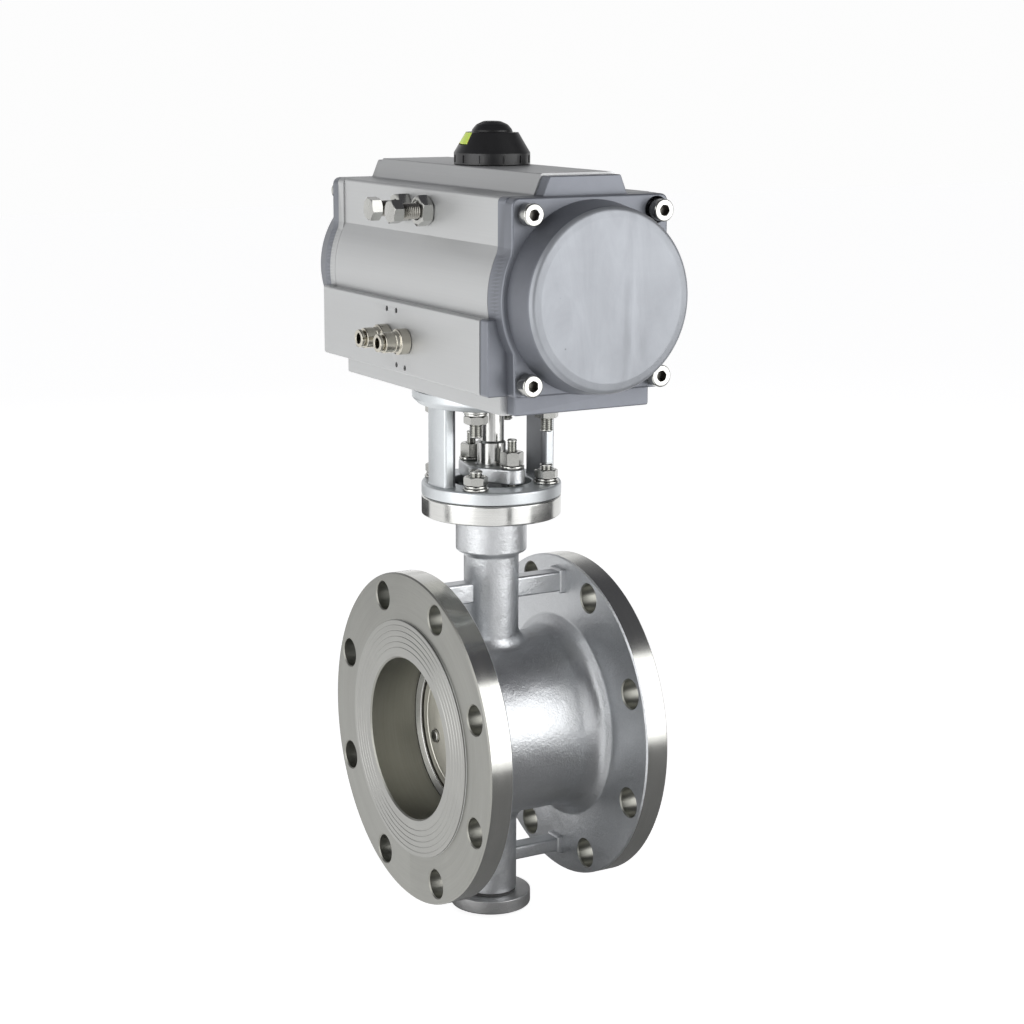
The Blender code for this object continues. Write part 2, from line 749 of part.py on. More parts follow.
def cap_screw(name, side, at, seat):
    profile = [
        (0, seat + 0.008),
        (0.0064, seat + 0.008),
        (0.0064, seat),
        (0.0031, seat),
        (0.0031, 0.0815),
        (0, 0.0815),
    ]
    screw = turned(name, mirrored(profile, side), machined_steel(), "Y", at, 10)
    ends = sorted((side * (seat + 0.0042), side * (seat + 0.012)))
    cut(screw, prism(f"{name}_socket", hexagon(0.006), ends[0], ends[1], None, "Y", at))


def travel_stops():
    wall = -BODY_HALF_WIDTH - GAP
    for i, y in enumerate((-STOP_Y, STOP_Y)):
        at = (0, y, STOP_Z)
        screw = rod(f"travel_stop_screw_{i + 1}", STOP_R, -0.070, STOP_TIP_X, machined_steel(), "X", at, 12)
        join(screw, prism(f"stop_head_{i + 1}", hexagon(0.0125), -0.0765, -0.0695, None, "X", at))
        nut_face = wall - 0.0075
        nut = prism(f"travel_stop_nut_{i + 1}", hexagon(0.016), nut_face, wall, machined_steel(), "X", at)
        cut(nut, rod(f"stop_nut_bore_{i + 1}", STOP_R + GAP, -0.080, -0.040, None, "X", at, 12))


def port_fittings():
    face = PORT_FACE_X - GAP
    for i, y in enumerate(PORT_Y):
        at = (0, y, PORT_Z)
        profile = [
            (0.0052, -0.0560),
            (0.0052, face),
            (0.0078, face),
            (0.0078, face - 0.0065),
            (0.0062, face - 0.0072),
            (0.0062, face - 0.0155),
            (0.0044, face - 0.0155),
            (0.0044, face - 0.0080),
            (0.0026, face - 0.0080),
            (0.0026, -0.0560),
        ]
        turned(f"port_fitting_{i + 1}", profile, nickel(), "X", at, 16)
        collar = [
            (0.0041, face - 0.0100),
            (0.0041, face - 0.0172),
            (0.0054, face - 0.0173),
            (0.0054, face - 0.0190),
            (0.0031, face - 0.0190),
            (0.0031, face - 0.0100),
        ]
        turned(f"release_collar_{i + 1}", collar, nickel(), "X", at, 16)


# ---------------------------------------------------------------- rack and pinion


def gear_outline():
    base = PITCH_R * math.cos(PRESSURE_ANGLE)
    root = PITCH_R - 1.35 * MODULE
    tip = PITCH_R + MODULE
    involute_at_pitch = math.tan(PRESSURE_ANGLE) - PRESSURE_ANGLE
    half = math.pi / (2 * TEETH) - BACKLASH / (4 * PITCH_R)
    flank = []
    for radius in (root, base + 0.00005, PITCH_R, tip):
        angle = math.acos(base / max(radius, base))
        flank.append((radius, half + involute_at_pitch - (math.tan(angle) - angle)))
    points = []
    for i in range(TEETH):
        middle = 2 * math.pi * i / TEETH
        points += [(r, middle - a) for r, a in flank]
        points += [(r, middle + a) for r, a in reversed(flank)]
    return [(r * math.cos(a), r * math.sin(a)) for r, a in points]


def rack_outline(side):
    """One rack in (x, y), its teeth towards the pinion. side is the sign of the rack's x."""
    pitch = math.pi * MODULE
    slope = math.tan(PRESSURE_ANGLE)
    tip = PITCH_R - MODULE
    root = PITCH_R + 1.3 * MODULE
    back = 0.0360
    half = pitch / 4 - BACKLASH / 2
    teeth = []
    count = int(RACK_END_Y / pitch)
    for i in range(-count, count):
        middle = (i + 0.5) * pitch
        low = half + slope * (root - PITCH_R)
        high = half + slope * (tip - PITCH_R)
        teeth += [(root, middle - low), (tip, middle - high), (tip, middle + high), (root, middle + low)]
    start = (root, -PISTON_INNER_Y - 0.002)
    end = (root, RACK_END_Y)
    outline = [start, *teeth, end, (back, RACK_END_Y), (back, -PISTON_INNER_Y - 0.002)]
    if side > 0:
        return [(x, -y) for x, y in outline]
    return [(-x, y) for x, y in outline]


def piston(name, side):
    """side is the sign of the piston's y; its rack is on the same side in x."""
    profile = [
        (0, PISTON_OUTER_Y),
        (PISTON_R, PISTON_OUTER_Y),
        (PISTON_R, 0.0655),
        (PISTON_R - 0.003, 0.0650),
        (PISTON_R - 0.003, 0.0615),
        (PISTON_R, 0.0610),
        (PISTON_R, PISTON_INNER_Y),
        (0, PISTON_INNER_Y),
    ]
    head = turned(name, mirrored(profile, side), body_aluminium(), "Y", (0, 0, AXIS_Z), 32)
    low = AXIS_Z - 0.010
    high = AXIS_Z + 0.010
    join(head, prism(f"{name}_rack", rack_outline(side), low, high))


def pinion():
    profile = [
        (0, 0.3620),
        (0.0085, 0.3620),
        (0.0085, 0.3518),
        (0.0130, 0.3518),
        (0.0130, 0.2940),
        (0.0150, 0.2940),
        (0.0150, 0.2175),
        (0, 0.2175),
    ]
    shaft = turned("pinion", profile, machined_steel())
    join(shaft, prism("pinion_gear", gear_outline(), 0.271, 0.295))
    cut(shaft, rod("pinion_bore", SHAFT_TIP_R + GAP, 0.210, 0.240, None, "Z", (0, 0, 0), 24))
    ring("pinion_bush_bottom", 0.0185 - GAP, 0.0150 + GAP, 0.2180, 0.2350, black_plastic())
    ring("pinion_bush_top", 0.0165 - GAP, 0.0130 + GAP, 0.3345, 0.3517, black_plastic())
    cam_low = 0.3200
    cam_high = 0.3325
    cam = ring("stop_cam", 0.0180, 0.0130 + GAP, cam_low, cam_high, machined_steel())
    join(
        cam,
        box("closed_lobe", (-0.0160, -0.0195, cam_low), (-0.0065, -0.0125, cam_high)),
        box("open_lobe", (0.0125, 0.0065, cam_low), (0.0195, 0.0160, cam_high)),
    )


def wedge(name, half_angle, middle_angle):
    """A tall wedge about the stem's axis, to cut a sector from a turned piece."""
    outline = [(0, 0), *arc((0, 0), 0.050, -half_angle, half_angle, 6)]
    piece = prism(name, outline, 0.340, 0.400)
    piece.rotation_euler.z = math.radians(middle_angle)
    return piece


def indicator():
    base = BODY_TOP + GAP
    slope = (INDICATOR_R - INDICATOR_SHOULDER_R) / (INDICATOR_SHOULDER_Z - INDICATOR_BAND_Z)
    outer = [
        (0, INDICATOR_TOP),
        (0.0045, INDICATOR_TOP - 0.0003),
        (0.0085, INDICATOR_TOP - 0.0020),
        (0.0115, INDICATOR_TOP - 0.0052),
        (0.0120, INDICATOR_SHOULDER_Z),
        (INDICATOR_SHOULDER_R, INDICATOR_SHOULDER_Z),
        (INDICATOR_R, INDICATOR_BAND_Z),
        (INDICATOR_R, base),
        (0, base),
    ]
    cap = turned("indicator_cap", outer, black_plastic(), steps=32)
    for i, middle in enumerate((INDICATOR_TURN, INDICATOR_TURN + 180)):
        pocket = ring(f"insert_pocket_{i + 1}", 0.040, 0.0127, INSERT_Z, 0.385, steps=32)
        boolean(pocket, wedge(f"pocket_wedge_{i + 1}", INSERT_HALF_ANGLE + 1, middle), "INTERSECT")
        cut(cap, pocket)
        low = INSERT_Z + GAP
        high = INDICATOR_SHOULDER_Z - 0.0002
        profile = [
            (INDICATOR_SHOULDER_R, high),
            (INDICATOR_R - slope * (low - INDICATOR_BAND_Z), low),
            (0.0130, low),
            (0.0130, high),
        ]
        insert = turned(f"indicator_insert_{i + 1}", profile, yellow_plastic(), steps=32)
        boolean(insert, wedge(f"insert_wedge_{i + 1}", INSERT_HALF_ANGLE, middle), "INTERSECT")
    cut(cap, rod("indicator_socket", 0.0085 + GAP, 0.340, 0.3625, None, "Z", (0, 0, 0), 16))


def turn_together(*names):
    """Parents the pieces that turn with the stem to an empty on its axis."""
    axis = bpy.data.objects.new("stem_axis", None)
    PARTS.objects.link(axis)
    for name in names:
        bpy.data.objects[name].parent = axis


def build():
    clear_scene()
    valve_body()
    seat_ring()
    stem_bearings()
    bottom_cover()
    packing_and_gland()
    stem()
    valve_disc()
    yoke()
    yoke_bolts()
    actuator_body()
    end_cap("front_cap", -1)
    end_cap("rear_cap", 1)
    travel_stops()
    port_fittings()
    piston("front_piston", -1)
    piston("rear_piston", 1)
    pinion()
    indicator()
    for obj in PARTS.objects:
        smooth(obj)
    screws = [f"retainer_screw_{i + 1}" for i in range(RETAINER_SCREWS)]
    inserts = ["indicator_insert_1", "indicator_insert_2"]
    valve_side = ["stem", "disc", "upper_disc_pin", "lower_disc_pin", "disc_seal_ring", "seal_retainer"]
    turn_together(*valve_side, *screws, "pinion", "stop_cam", "indicator_cap", *inserts)


build()
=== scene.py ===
"""The looks of the pneumatic actuated valve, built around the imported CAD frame. Metres, +Z up the stem.

X runs along the pipe and Y along the actuator's cylinder. Each visible CAD node is replaced by a
finished piece in the same place, and the inner ones keep their CAD shape with a better material.
"""

import json
import math

import bmesh
import bpy
from mathutils import Matrix, Vector

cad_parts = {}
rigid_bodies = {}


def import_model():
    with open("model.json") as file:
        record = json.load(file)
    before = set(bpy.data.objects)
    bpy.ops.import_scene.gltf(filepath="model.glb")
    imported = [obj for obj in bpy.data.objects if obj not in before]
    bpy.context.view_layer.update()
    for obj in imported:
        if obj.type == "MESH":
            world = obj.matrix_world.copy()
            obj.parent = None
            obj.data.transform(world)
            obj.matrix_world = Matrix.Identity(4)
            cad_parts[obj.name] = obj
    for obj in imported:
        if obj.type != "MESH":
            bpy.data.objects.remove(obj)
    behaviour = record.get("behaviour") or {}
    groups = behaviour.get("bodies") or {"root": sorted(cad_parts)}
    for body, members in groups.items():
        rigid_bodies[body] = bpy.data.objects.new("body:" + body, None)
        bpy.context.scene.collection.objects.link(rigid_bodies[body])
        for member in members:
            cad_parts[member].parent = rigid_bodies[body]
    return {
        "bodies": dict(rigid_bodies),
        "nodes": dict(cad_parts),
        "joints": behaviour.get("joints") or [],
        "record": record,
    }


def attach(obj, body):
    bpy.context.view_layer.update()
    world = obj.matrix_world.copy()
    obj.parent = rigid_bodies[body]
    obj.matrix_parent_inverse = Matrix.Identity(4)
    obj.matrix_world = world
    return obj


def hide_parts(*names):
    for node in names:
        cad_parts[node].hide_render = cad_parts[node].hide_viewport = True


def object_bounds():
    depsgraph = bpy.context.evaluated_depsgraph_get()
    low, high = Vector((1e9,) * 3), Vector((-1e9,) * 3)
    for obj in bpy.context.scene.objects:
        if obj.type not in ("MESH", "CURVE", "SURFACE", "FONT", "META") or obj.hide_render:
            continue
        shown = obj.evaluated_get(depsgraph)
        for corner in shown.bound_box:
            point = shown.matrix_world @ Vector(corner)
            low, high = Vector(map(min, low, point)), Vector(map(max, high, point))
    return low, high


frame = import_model()
CAD_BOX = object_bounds()

HOUSING = "housing"
ROTOR = "rotor"
ALONG = {
    "X": Matrix.Rotation(math.pi / 2, 4, "Y"),
    "Y": Matrix.Rotation(-math.pi / 2, 4, "X"),
    "Z": Matrix(),
}
GAP = 0.0003  # between mating pieces

# Camera and floor
LENS_MM = 75.37
SENSOR_MM = 36
CAMERA_AZIMUTH = math.radians(-29.99)
CAMERA_ELEVATION = math.radians(12.05)
CAMERA_ROLL = 0.0041
CAMERA_DISTANCE = 1.1517
LOOK_AT = Vector((-0.0784, -0.1616, 0.1764))
FLOOR_GLOW = 0.86


# ---- shapes


def rounded(corners, steps=5, closed=False):
    """The points of a path whose corners are (a, b) or (a, b, radius), each radius made an arc."""
    points = [Vector(corner[:2]) for corner in corners]
    radii = [corner[2] if len(corner) > 2 else 0 for corner in corners]
    count = len(points)
    path = []
    for i in range(count):
        corner = points[i]
        if radii[i] <= 0 or (not closed and i in (0, count - 1)):
            path.append(corner)
            continue
        before = points[i - 1] - corner
        after = points[(i + 1) % count] - corner
        half = before.angle(after) / 2
        if half > math.radians(89.5):
            path.append(corner)
            continue
        reach = min(radii[i] / math.tan(half), 0.49 * before.length, 0.49 * after.length)
        radius = reach * math.tan(half)
        middle = (before.normalized() + after.normalized()).normalized()
        centre = corner + middle * radius / math.sin(half)
        start = corner + before.normalized() * reach - centre
        sweep = start.angle_signed(corner + after.normalized() * reach - centre)
        for k in range(steps + 1):
            turned = start.copy()
            turned.rotate(Matrix.Rotation(-sweep * k / steps, 2))
            path.append(centre + turned)
    return path


def polar(radius, angle):
    return radius * math.cos(angle), radius * math.sin(angle)


def linked(name, data):
    obj = bpy.data.objects.new(name, data)
    bpy.context.scene.collection.objects.link(obj)
    return obj


def to_object(name, shape):
    bmesh.ops.recalc_face_normals(shape, faces=shape.faces)
    mesh = bpy.data.meshes.new(name)
    shape.to_mesh(mesh)
    shape.free()
    return linked(name, mesh)


def spin(angle):
    return Matrix.Rotation(angle, 4, "Z")


def placed(axis="Z", at=(0, 0, 0)):
    return Matrix.Translation(at) @ ALONG[axis]


def lathe(name, corners, axis="Z", at=(0, 0, 0), steps=64, closed=False, arc_steps=5):
    """Turns (radius, height) corners about an axis. A closed path makes a ring."""
    shape = bmesh.new()
    rings = []
    angles = [2 * math.pi * k / steps for k in range(steps)]
    for radius, height in rounded(corners, arc_steps, closed):
        if radius < 1e-7:
            rings.append([shape.verts.new((0, 0, height))])
            continue
        rings.append([shape.verts.new((*polar(radius, a), height)) for a in angles])
    pairs = list(zip(rings, rings[1:]))
    if closed:
        pairs.append((rings[-1], rings[0]))
    for low, high in pairs:
        for k in range(steps):
            n = (k + 1) % steps
            around = [low[k % len(low)], low[n % len(low)], high[n % len(high)], high[k % len(high)]]
            unique = list(dict.fromkeys(around))
            if len(unique) > 2:
                shape.faces.new(unique)
    obj = to_object(name, shape)
    obj.matrix_world = placed(axis, at)
    return obj


def rod(name, radius, low, high, axis="Z", at=(0, 0, 0), steps=24):
    return lathe(name, [(0, low), (radius, low), (radius, high), (0, high)], axis, at, steps)


def rods(places, radius, low, high, steps=24):
    """Upright rods at these (x, y) places."""
    return [rod("hole", radius, low, high, at=(x, y, 0), steps=steps) for x, y in places]


def prism(name, corners, low, high, axis="Z"):
    outline = rounded(corners, 5, True)
    shape = bmesh.new()
    bottom = [shape.verts.new((x, y, low)) for x, y in outline]
    top = [shape.verts.new((x, y, high)) for x, y in outline]
    shape.faces.new(bottom)
    shape.faces.new(top)
    for k in range(len(outline)):
        n = (k + 1) % len(outline)
        shape.faces.new((bottom[k], bottom[n], top[n], top[k]))
    obj = to_object(name, shape)
    obj.matrix_world = placed(axis)
    return obj


def rectangle(x_low, x_high, y_low, y_high):
    return [(x_low, y_low), (x_high, y_low), (x_high, y_high), (x_low, y_high)]


def block(name, low, high):
    return prism(name, rectangle(low[0], high[0], low[1], high[1]), low[2], high[2])


def circle(count, radius, first=0.0):
    return [polar(radius, first + 2 * math.pi * k / count) for k in range(count)]


def hexagon(width):
    return circle(6, width / math.sqrt(3))


def arc(centre, radius, start, end, count):
    """Points on an arc, its angles in degrees."""
    angles = [math.radians(start + (end - start) * k / count) for k in range(count + 1)]
    return [(centre[0] + radius * math.cos(a), centre[1] + radius * math.sin(a)) for a in angles]


def bake(obj):
    """Makes the object's modifiers part of its mesh."""
    bpy.context.view_layer.update()
    graph = bpy.context.evaluated_depsgraph_get()
    mesh = bpy.data.meshes.new_from_object(obj.evaluated_get(graph))
    obj.modifiers.clear()
    obj.data = mesh
    return obj


def combine(obj, others, operation):
    """A Boolean with each of the others, which are used up."""
    for other in others:
        modifier = obj.modifiers.new(operation, "BOOLEAN")
        modifier.operation = operation
        modifier.object = other
        modifier.solver = "EXACT"
    bake(obj)
    for other in others:
        bpy.data.objects.remove(other)
    return obj


def cut(obj, *others):
    return combine(obj, others, "DIFFERENCE")


def join(obj, *others):
    return combine(obj, others, "UNION")


def edge_round(obj, width, segments, angle=35):
    """Rounds the edges that turn by more than the angle."""
    modifier = obj.modifiers.new("edges", "BEVEL")
    modifier.width = width
    modifier.segments = segments
    modifier.limit_method = "ANGLE"
    modifier.angle_limit = math.radians(angle)
    return bake(obj)


def smooth(obj):
    """Smooth shading that stays flat on flat faces."""
    obj.data.shade_smooth()
    obj.data.set_sharp_from_angle(angle=math.radians(32))
    normals = obj.modifiers.new("normals", "WEIGHTED_NORMAL")
    normals.keep_sharp = True


def piece(obj, body, slot, finish, *nodes):
    """Gives a finished piece its material and body, and hides the CAD nodes it stands for. The slot is not
    used.
    """
    if not obj.data.materials:
        obj.data.materials.append(finish)
    smooth(obj)
    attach(obj, body)
    if nodes:
        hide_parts(*nodes)


def paint(obj, finishes, choose):
    """Gives each face the finish whose number choose(centre, normal) returns."""
    for finish in finishes:
        obj.data.materials.append(finish)
    for face in obj.data.polygons:
        face.material_index = choose(face.center, face.normal)


# ---- materials


class Nodes:
    """A small helper that adds nodes to one material and links them."""

    def __init__(self, name):
        self.material = bpy.data.materials.new(name)
        self.material.use_nodes = True
        self.tree = self.material.node_tree
        self.shader = self.tree.nodes["Principled BSDF"]
        self.place = self.add("ShaderNodeTexCoord")["Object"]

    def link(self, start, end):
        if isinstance(start, (int, float, tuple)):
            end.default_value = start
        else:
            self.tree.links.new(start, end)

    def add(self, kind, inputs=None, **settings):
        """Adds a node, whose inputs are values or other nodes' outputs, and hands over its outputs."""
        node = self.tree.nodes.new(kind)
        for key, value in settings.items():
            setattr(node, key, value)
        for key, value in (inputs or {}).items():
            self.link(value, node.inputs[key])
        return node.outputs

    def math(self, operation, a, b=0.0):
        return self.add("ShaderNodeMath", {0: a, 1: b}, operation=operation)[0]

    def noise(self, vector, scale, detail=3.0, rough=0.55, distortion=0.0):
        return self.add("ShaderNodeTexNoise", {
            "Vector": vector, "Scale": scale, "Detail": detail, "Roughness": rough,
            "Distortion": distortion})["Fac"]

    def specks(self, scale, size):
        """Small round specks, one in each cell."""
        cells = self.add("ShaderNodeTexVoronoi", {"Vector": self.place, "Scale": scale}, feature="F1")
        return self.ramp(cells["Distance"], 0.0, size, 1.0, 0.0)

    def scaled(self, vector, scale):
        return self.add("ShaderNodeVectorMath", {0: vector, 1: scale}, operation="MULTIPLY")[0]

    def ramp(self, value, low, high, start=0.0, end=1.0):
        return self.add("ShaderNodeMapRange", {
            "Value": value, "From Min": low, "From Max": high, "To Min": start, "To Max": end})["Result"]

    def mix(self, factor, a, b):
        return self.add("ShaderNodeMix", {"Factor": factor, "A": a, "B": b}, data_type="RGBA")["Result"]

    def bump(self, height, distance, after=None):
        inputs = {"Strength": 1.0, "Distance": distance, "Height": height}
        if after is not None:
            inputs["Normal"] = after
        return self.add("ShaderNodeBump", inputs)["Normal"]

    def turned(self, axis):
        """A coordinate that runs with the radius and along the axis, so that noise on it makes rings."""
        split = self.add("ShaderNodeSeparateXYZ", {0: self.place})
        across = [split[a] for a in "XYZ" if a != axis]
        squares = [self.math("MULTIPLY", a, a) for a in across]
        radius = self.math("SQRT", self.math("ADD", *squares))
        drift = 0.0015
        angle = self.math("MULTIPLY", self.math("ARCTAN2", *across), drift)
        return self.add("ShaderNodeCombineXYZ", {"X": radius, "Y": split[axis], "Z": angle})[0]

    def edge(self, width=0.5):
        """Bright on convex edges, from the mesh's own pointiness."""
        point = self.add("ShaderNodeNewGeometry")["Pointiness"]
        return self.ramp(point, 0.5 + 0.02 * width, 0.5 + 0.1 * width)

    def surface(self, inputs):
        """Sets or links these inputs of the surface and hands over the material."""
        for key, value in inputs.items():
            self.link(value, self.shader.inputs[key])
        return self.material

    def finish(self, tint, rough, metallic, normal):
        return self.surface({"Base Color": tint, "Roughness": rough, "Metallic": metallic, "Normal": normal})


def srgb(*levels):
    """A linear colour from 0 to 255 screen levels."""
    return tuple(((v / 255 + 0.055) / 1.055) ** 2.4 if v > 10 else v / 255 / 12.92 for v in levels) + (1.0,)


def shade(color, factor):
    return tuple(min(1.0, c * factor) for c in color[:3]) + (1.0,)


def machined(name, color, roughness, axis, ring_pitch, depth):
    """A turned steel: rings from the tool, with slight stains."""
    n = Nodes(name)
    rings = n.turned(axis)
    fine = n.noise(rings, 1 / ring_pitch, 2.0, 0.7)
    broad = n.noise(rings, 1 / (ring_pitch * 14), 2.0, 0.5)
    stain = n.noise(n.place, 28, 5.0, 0.6, 0.6)
    tint = n.mix(n.ramp(stain, 0.35, 0.7), shade(color, 0.93), shade(color, 1.04))
    tint = n.mix(n.ramp(fine, 0.25, 0.75, 0.0, 0.5), tint, shade(color, 0.8))
    turning = n.ramp(broad, 0.3, 0.7, roughness * 0.85, roughness * 1.2)
    rough = n.math("ADD", turning, n.ramp(stain, 0.4, 0.8, 0, 0.05))
    return n.finish(tint, rough, 1.0, n.bump(fine, depth))


def cast(name, color, roughness, grain, depth, lump=0.0003):
    """A bead-blasted casting: a fine even grain over soft lumps, with small pits."""
    n = Nodes(name)
    fine = n.noise(n.place, 1 / grain, 3.0, 0.65)
    soft = n.noise(n.place, 70, 3.0, 0.5)
    patch = n.noise(n.place, 17, 4.0, 0.6, 0.4)
    chance = n.ramp(n.noise(n.place, 45, 1.0), 0.66, 0.7)
    pits = n.math("MULTIPLY", n.specks(160, 0.11), chance)
    tint = n.mix(n.ramp(patch, 0.3, 0.7), shade(color, 0.92), shade(color, 1.05))
    tint = n.mix(n.ramp(fine, 0.3, 0.7, 0.0, 0.35), tint, shade(color, 0.75))
    tint = n.mix(n.math("MULTIPLY", pits, 0.5), tint, shade(color, 0.45))
    rough = n.ramp(patch, 0.3, 0.7, roughness * 0.92, roughness * 1.1)
    grainy = n.bump(fine, depth, n.bump(soft, lump))
    return n.finish(tint, rough, 1.0, n.bump(pits, -0.0003, grainy))


def plain_metal(name, color, roughness):
    n = Nodes(name)
    fine = n.noise(n.place, 600, 3.0, 0.6)
    patch = n.noise(n.place, 40, 4.0, 0.6)
    tint = n.mix(n.ramp(patch, 0.35, 0.7), shade(color, 0.92), shade(color, 1.05))
    rough = n.ramp(fine, 0.2, 0.8, roughness * 0.85, roughness * 1.2)
    return n.finish(tint, rough, 1.0, n.bump(fine, 0.00002))


def anodised(name, color, roughness):
    """An extruded profile: faint die lines along Y under a matt, finely etched skin."""
    n = Nodes(name)
    lines = n.noise(n.scaled(n.place, (900.0, 2.5, 900.0)), 1.0, 2.0, 0.6)
    etch = n.noise(n.place, 1500, 2.0, 0.6)
    patch = n.noise(n.scaled(n.place, (30.0, 7.0, 30.0)), 1.0, 4.0, 0.55)
    tint = n.mix(n.ramp(patch, 0.3, 0.7), shade(color, 0.95), shade(color, 1.05))
    tint = n.mix(n.ramp(lines, 0.3, 0.7, 0.0, 0.25), tint, shade(color, 0.85))
    tint = n.mix(n.math("MULTIPLY", n.edge(), 0.35), tint, shade(color, 1.5))
    rough = n.ramp(patch, 0.3, 0.7, roughness * 0.95, roughness * 1.08)
    return n.finish(tint, rough, 0.85, n.bump(etch, 0.00003, n.bump(lines, 0.00002)))


def cap_coat(name, color, roughness, streaks=0.0):
    """Powder coat on a die casting, with nicks and vertical wipe marks where it was rubbed."""
    n = Nodes(name)
    peel = n.noise(n.place, 900, 2.0, 0.5)
    soft = n.noise(n.place, 60, 3.0, 0.5)
    patch = n.noise(n.place, 20, 5.0, 0.6, 0.5)
    wipe = n.noise(n.scaled(n.place, (60.0, 60.0, 17.0)), 1.0, 6.0, 0.6, 0.8)
    rare = n.ramp(n.noise(n.place, 33, 1.0), 0.60, 0.64)
    nick = n.math("MULTIPLY", n.specks(95, 0.07), rare)
    tint = n.mix(n.ramp(patch, 0.3, 0.7), shade(color, 0.9), shade(color, 1.08))
    tint = n.mix(n.ramp(wipe, 0.35, 0.72, 0.0, streaks), tint, shade(color, 1.55))
    tint = n.mix(n.math("MULTIPLY", nick, 0.8 if streaks else 0.0), tint, shade(color, 0.35))
    tint = n.mix(n.math("MULTIPLY", n.edge(0.7), 0.4), tint, shade(color, 1.9))
    rough = n.ramp(wipe, 0.3, 0.75, roughness, roughness * (1 - 0.35 * streaks))
    n.surface({"Coat Weight": 0.15, "Coat Roughness": 0.35})
    return n.finish(tint, rough, 0.55, n.bump(peel, 0.00003, n.bump(soft, 0.00012)))


def moulding(name, color, roughness, through=0.0):
    """A moulded plastic, paler on its edges. through is how much light passes into it."""
    n = Nodes(name)
    fine = n.noise(n.place, 1200, 2.0, 0.5)
    patch = n.noise(n.place, 60, 4.0, 0.6)
    tint = n.mix(n.ramp(patch, 0.3, 0.75), shade(color, 0.85), shade(color, 1.2))
    tint = n.mix(n.math("MULTIPLY", n.edge(), 0.3), tint, shade(color, 2.5))
    rough = n.ramp(patch, 0.3, 0.7, roughness * 0.85, roughness * 1.15)
    n.surface({"Subsurface Weight": through, "Subsurface Scale": 0.002})
    return n.finish(tint, rough, 0.0, n.bump(fine, 0.00003))


CAST_STEEL = cast("cast_steel", srgb(208, 210, 212), 0.35, 0.0013, 0.0002, 0.0006)
FLANGE_FACE = machined("flange_face", srgb(156, 156, 151), 0.38, "X", 0.0007, 0.00003)
FLANGE_RIM = machined("flange_rim", srgb(205, 205, 200), 0.15, "X", 0.0008, 0.00001)
RAISED_FACE = machined("raised_face", srgb(168, 168, 164), 0.34, "X", 0.0009, 0.00005)
BORE_STEEL = machined("bore_steel", srgb(152, 152, 145), 0.36, "X", 0.0012, 0.00003)
TURNED_STEEL = machined("turned_steel", srgb(206, 206, 204), 0.2, "Z", 0.0005, 0.000004)
RETAINER_STEEL = machined("turned_disc", srgb(226, 224, 214), 0.5, "Z", 0.0007, 0.00002)
TOP_RIM = machined("top_flange_rim", srgb(216, 216, 213), 0.15, "Z", 0.0008, 0.000006)
CAST_COVER = cast("cast_cover", srgb(190, 190, 190), 0.38, 0.0009, 0.0002)
YOKE_STEEL = cast("yoke_steel", srgb(214, 218, 220), 0.42, 0.0008, 0.00006, 0.0002)
# Painted shade: a darker cast finish for the inner faces of the yoke's cheeks, standing in for the shade
# between the plates.
YOKE_PAINTED_SHADE = cast("yoke_painted_shade", srgb(128, 130, 133), 0.45, 0.0008, 0.0001, 0.0002)
FASTENER = plain_metal("fastener_steel", srgb(188, 188, 184), 0.2)
BOLT_DARK = plain_metal("bolt_steel", srgb(150, 148, 142), 0.28)
BODY_SKIN = anodised("body_anodised", srgb(186, 187, 187), 0.5)
CAP_SKIN = cap_coat("cap_coat", srgb(114, 117, 124), 0.42)
CAP_FACE = cap_coat("cap_face", srgb(144, 147, 152), 0.46, 0.3)
NICKEL = plain_metal("nickel_plate", srgb(200, 196, 184), 0.18)
# Painted shade: a darker steel for the inside of a hexagon socket, standing in for the shade in the recess.
SOCKET_PAINTED_SHADE = plain_metal("socket_painted_shade", srgb(112, 110, 104), 0.4)
BLACK = moulding("black_plastic", srgb(30, 30, 31), 0.36)
YELLOW = moulding("yellow_plastic", srgb(196, 222, 92), 0.42, 0.15)
GRAPHITE = moulding("graphite", srgb(60, 60, 60), 0.7)
SEAL = moulding("seal_polymer", srgb(52, 52, 50), 0.55)
BRONZE = plain_metal("bronze", srgb(176, 132, 74), 0.3)
ALLOY = plain_metal("plain_alloy", srgb(176, 178, 180), 0.4)


# ---- common hardware


def settle(obj):
    """Moves the object's place into its mesh, so that its coordinates are the frame's."""
    bpy.context.view_layer.update()
    obj.data.transform(obj.matrix_world)
    obj.matrix_world = Matrix.Identity(4)
    return obj


def merged(name, *objects):
    """Several meshes as one object in the frame's coordinates, without a Boolean."""
    shape = bmesh.new()
    for obj in objects:
        settle(obj)
        shape.from_mesh(obj.data)
        bpy.data.objects.remove(obj)
    return to_object(name, shape)


def repeated(masters, key, name, place, make):
    """One mesh at many places: make(name) builds it the first time, and the others share it."""
    if key in masters:
        obj = linked(name, masters[key])
    else:
        obj = make(name)
        masters[key] = obj.data
    obj.matrix_world = place
    return obj


def thread_path(radius, low, high, pitch):
    """The outer side of a threaded rod, from the low end to the high one, each end chamfered."""
    depth = 0.55 * pitch
    path = [(0, low), (radius - depth, low), (radius, low + depth)]
    height = low + depth + 0.3 * pitch
    while height + pitch < high - depth:
        path += [(radius, height), (radius - depth, height + 0.5 * pitch), (radius, height + pitch)]
        height += pitch
    return path + [(radius, high - depth), (radius - depth, high), (0, high)]


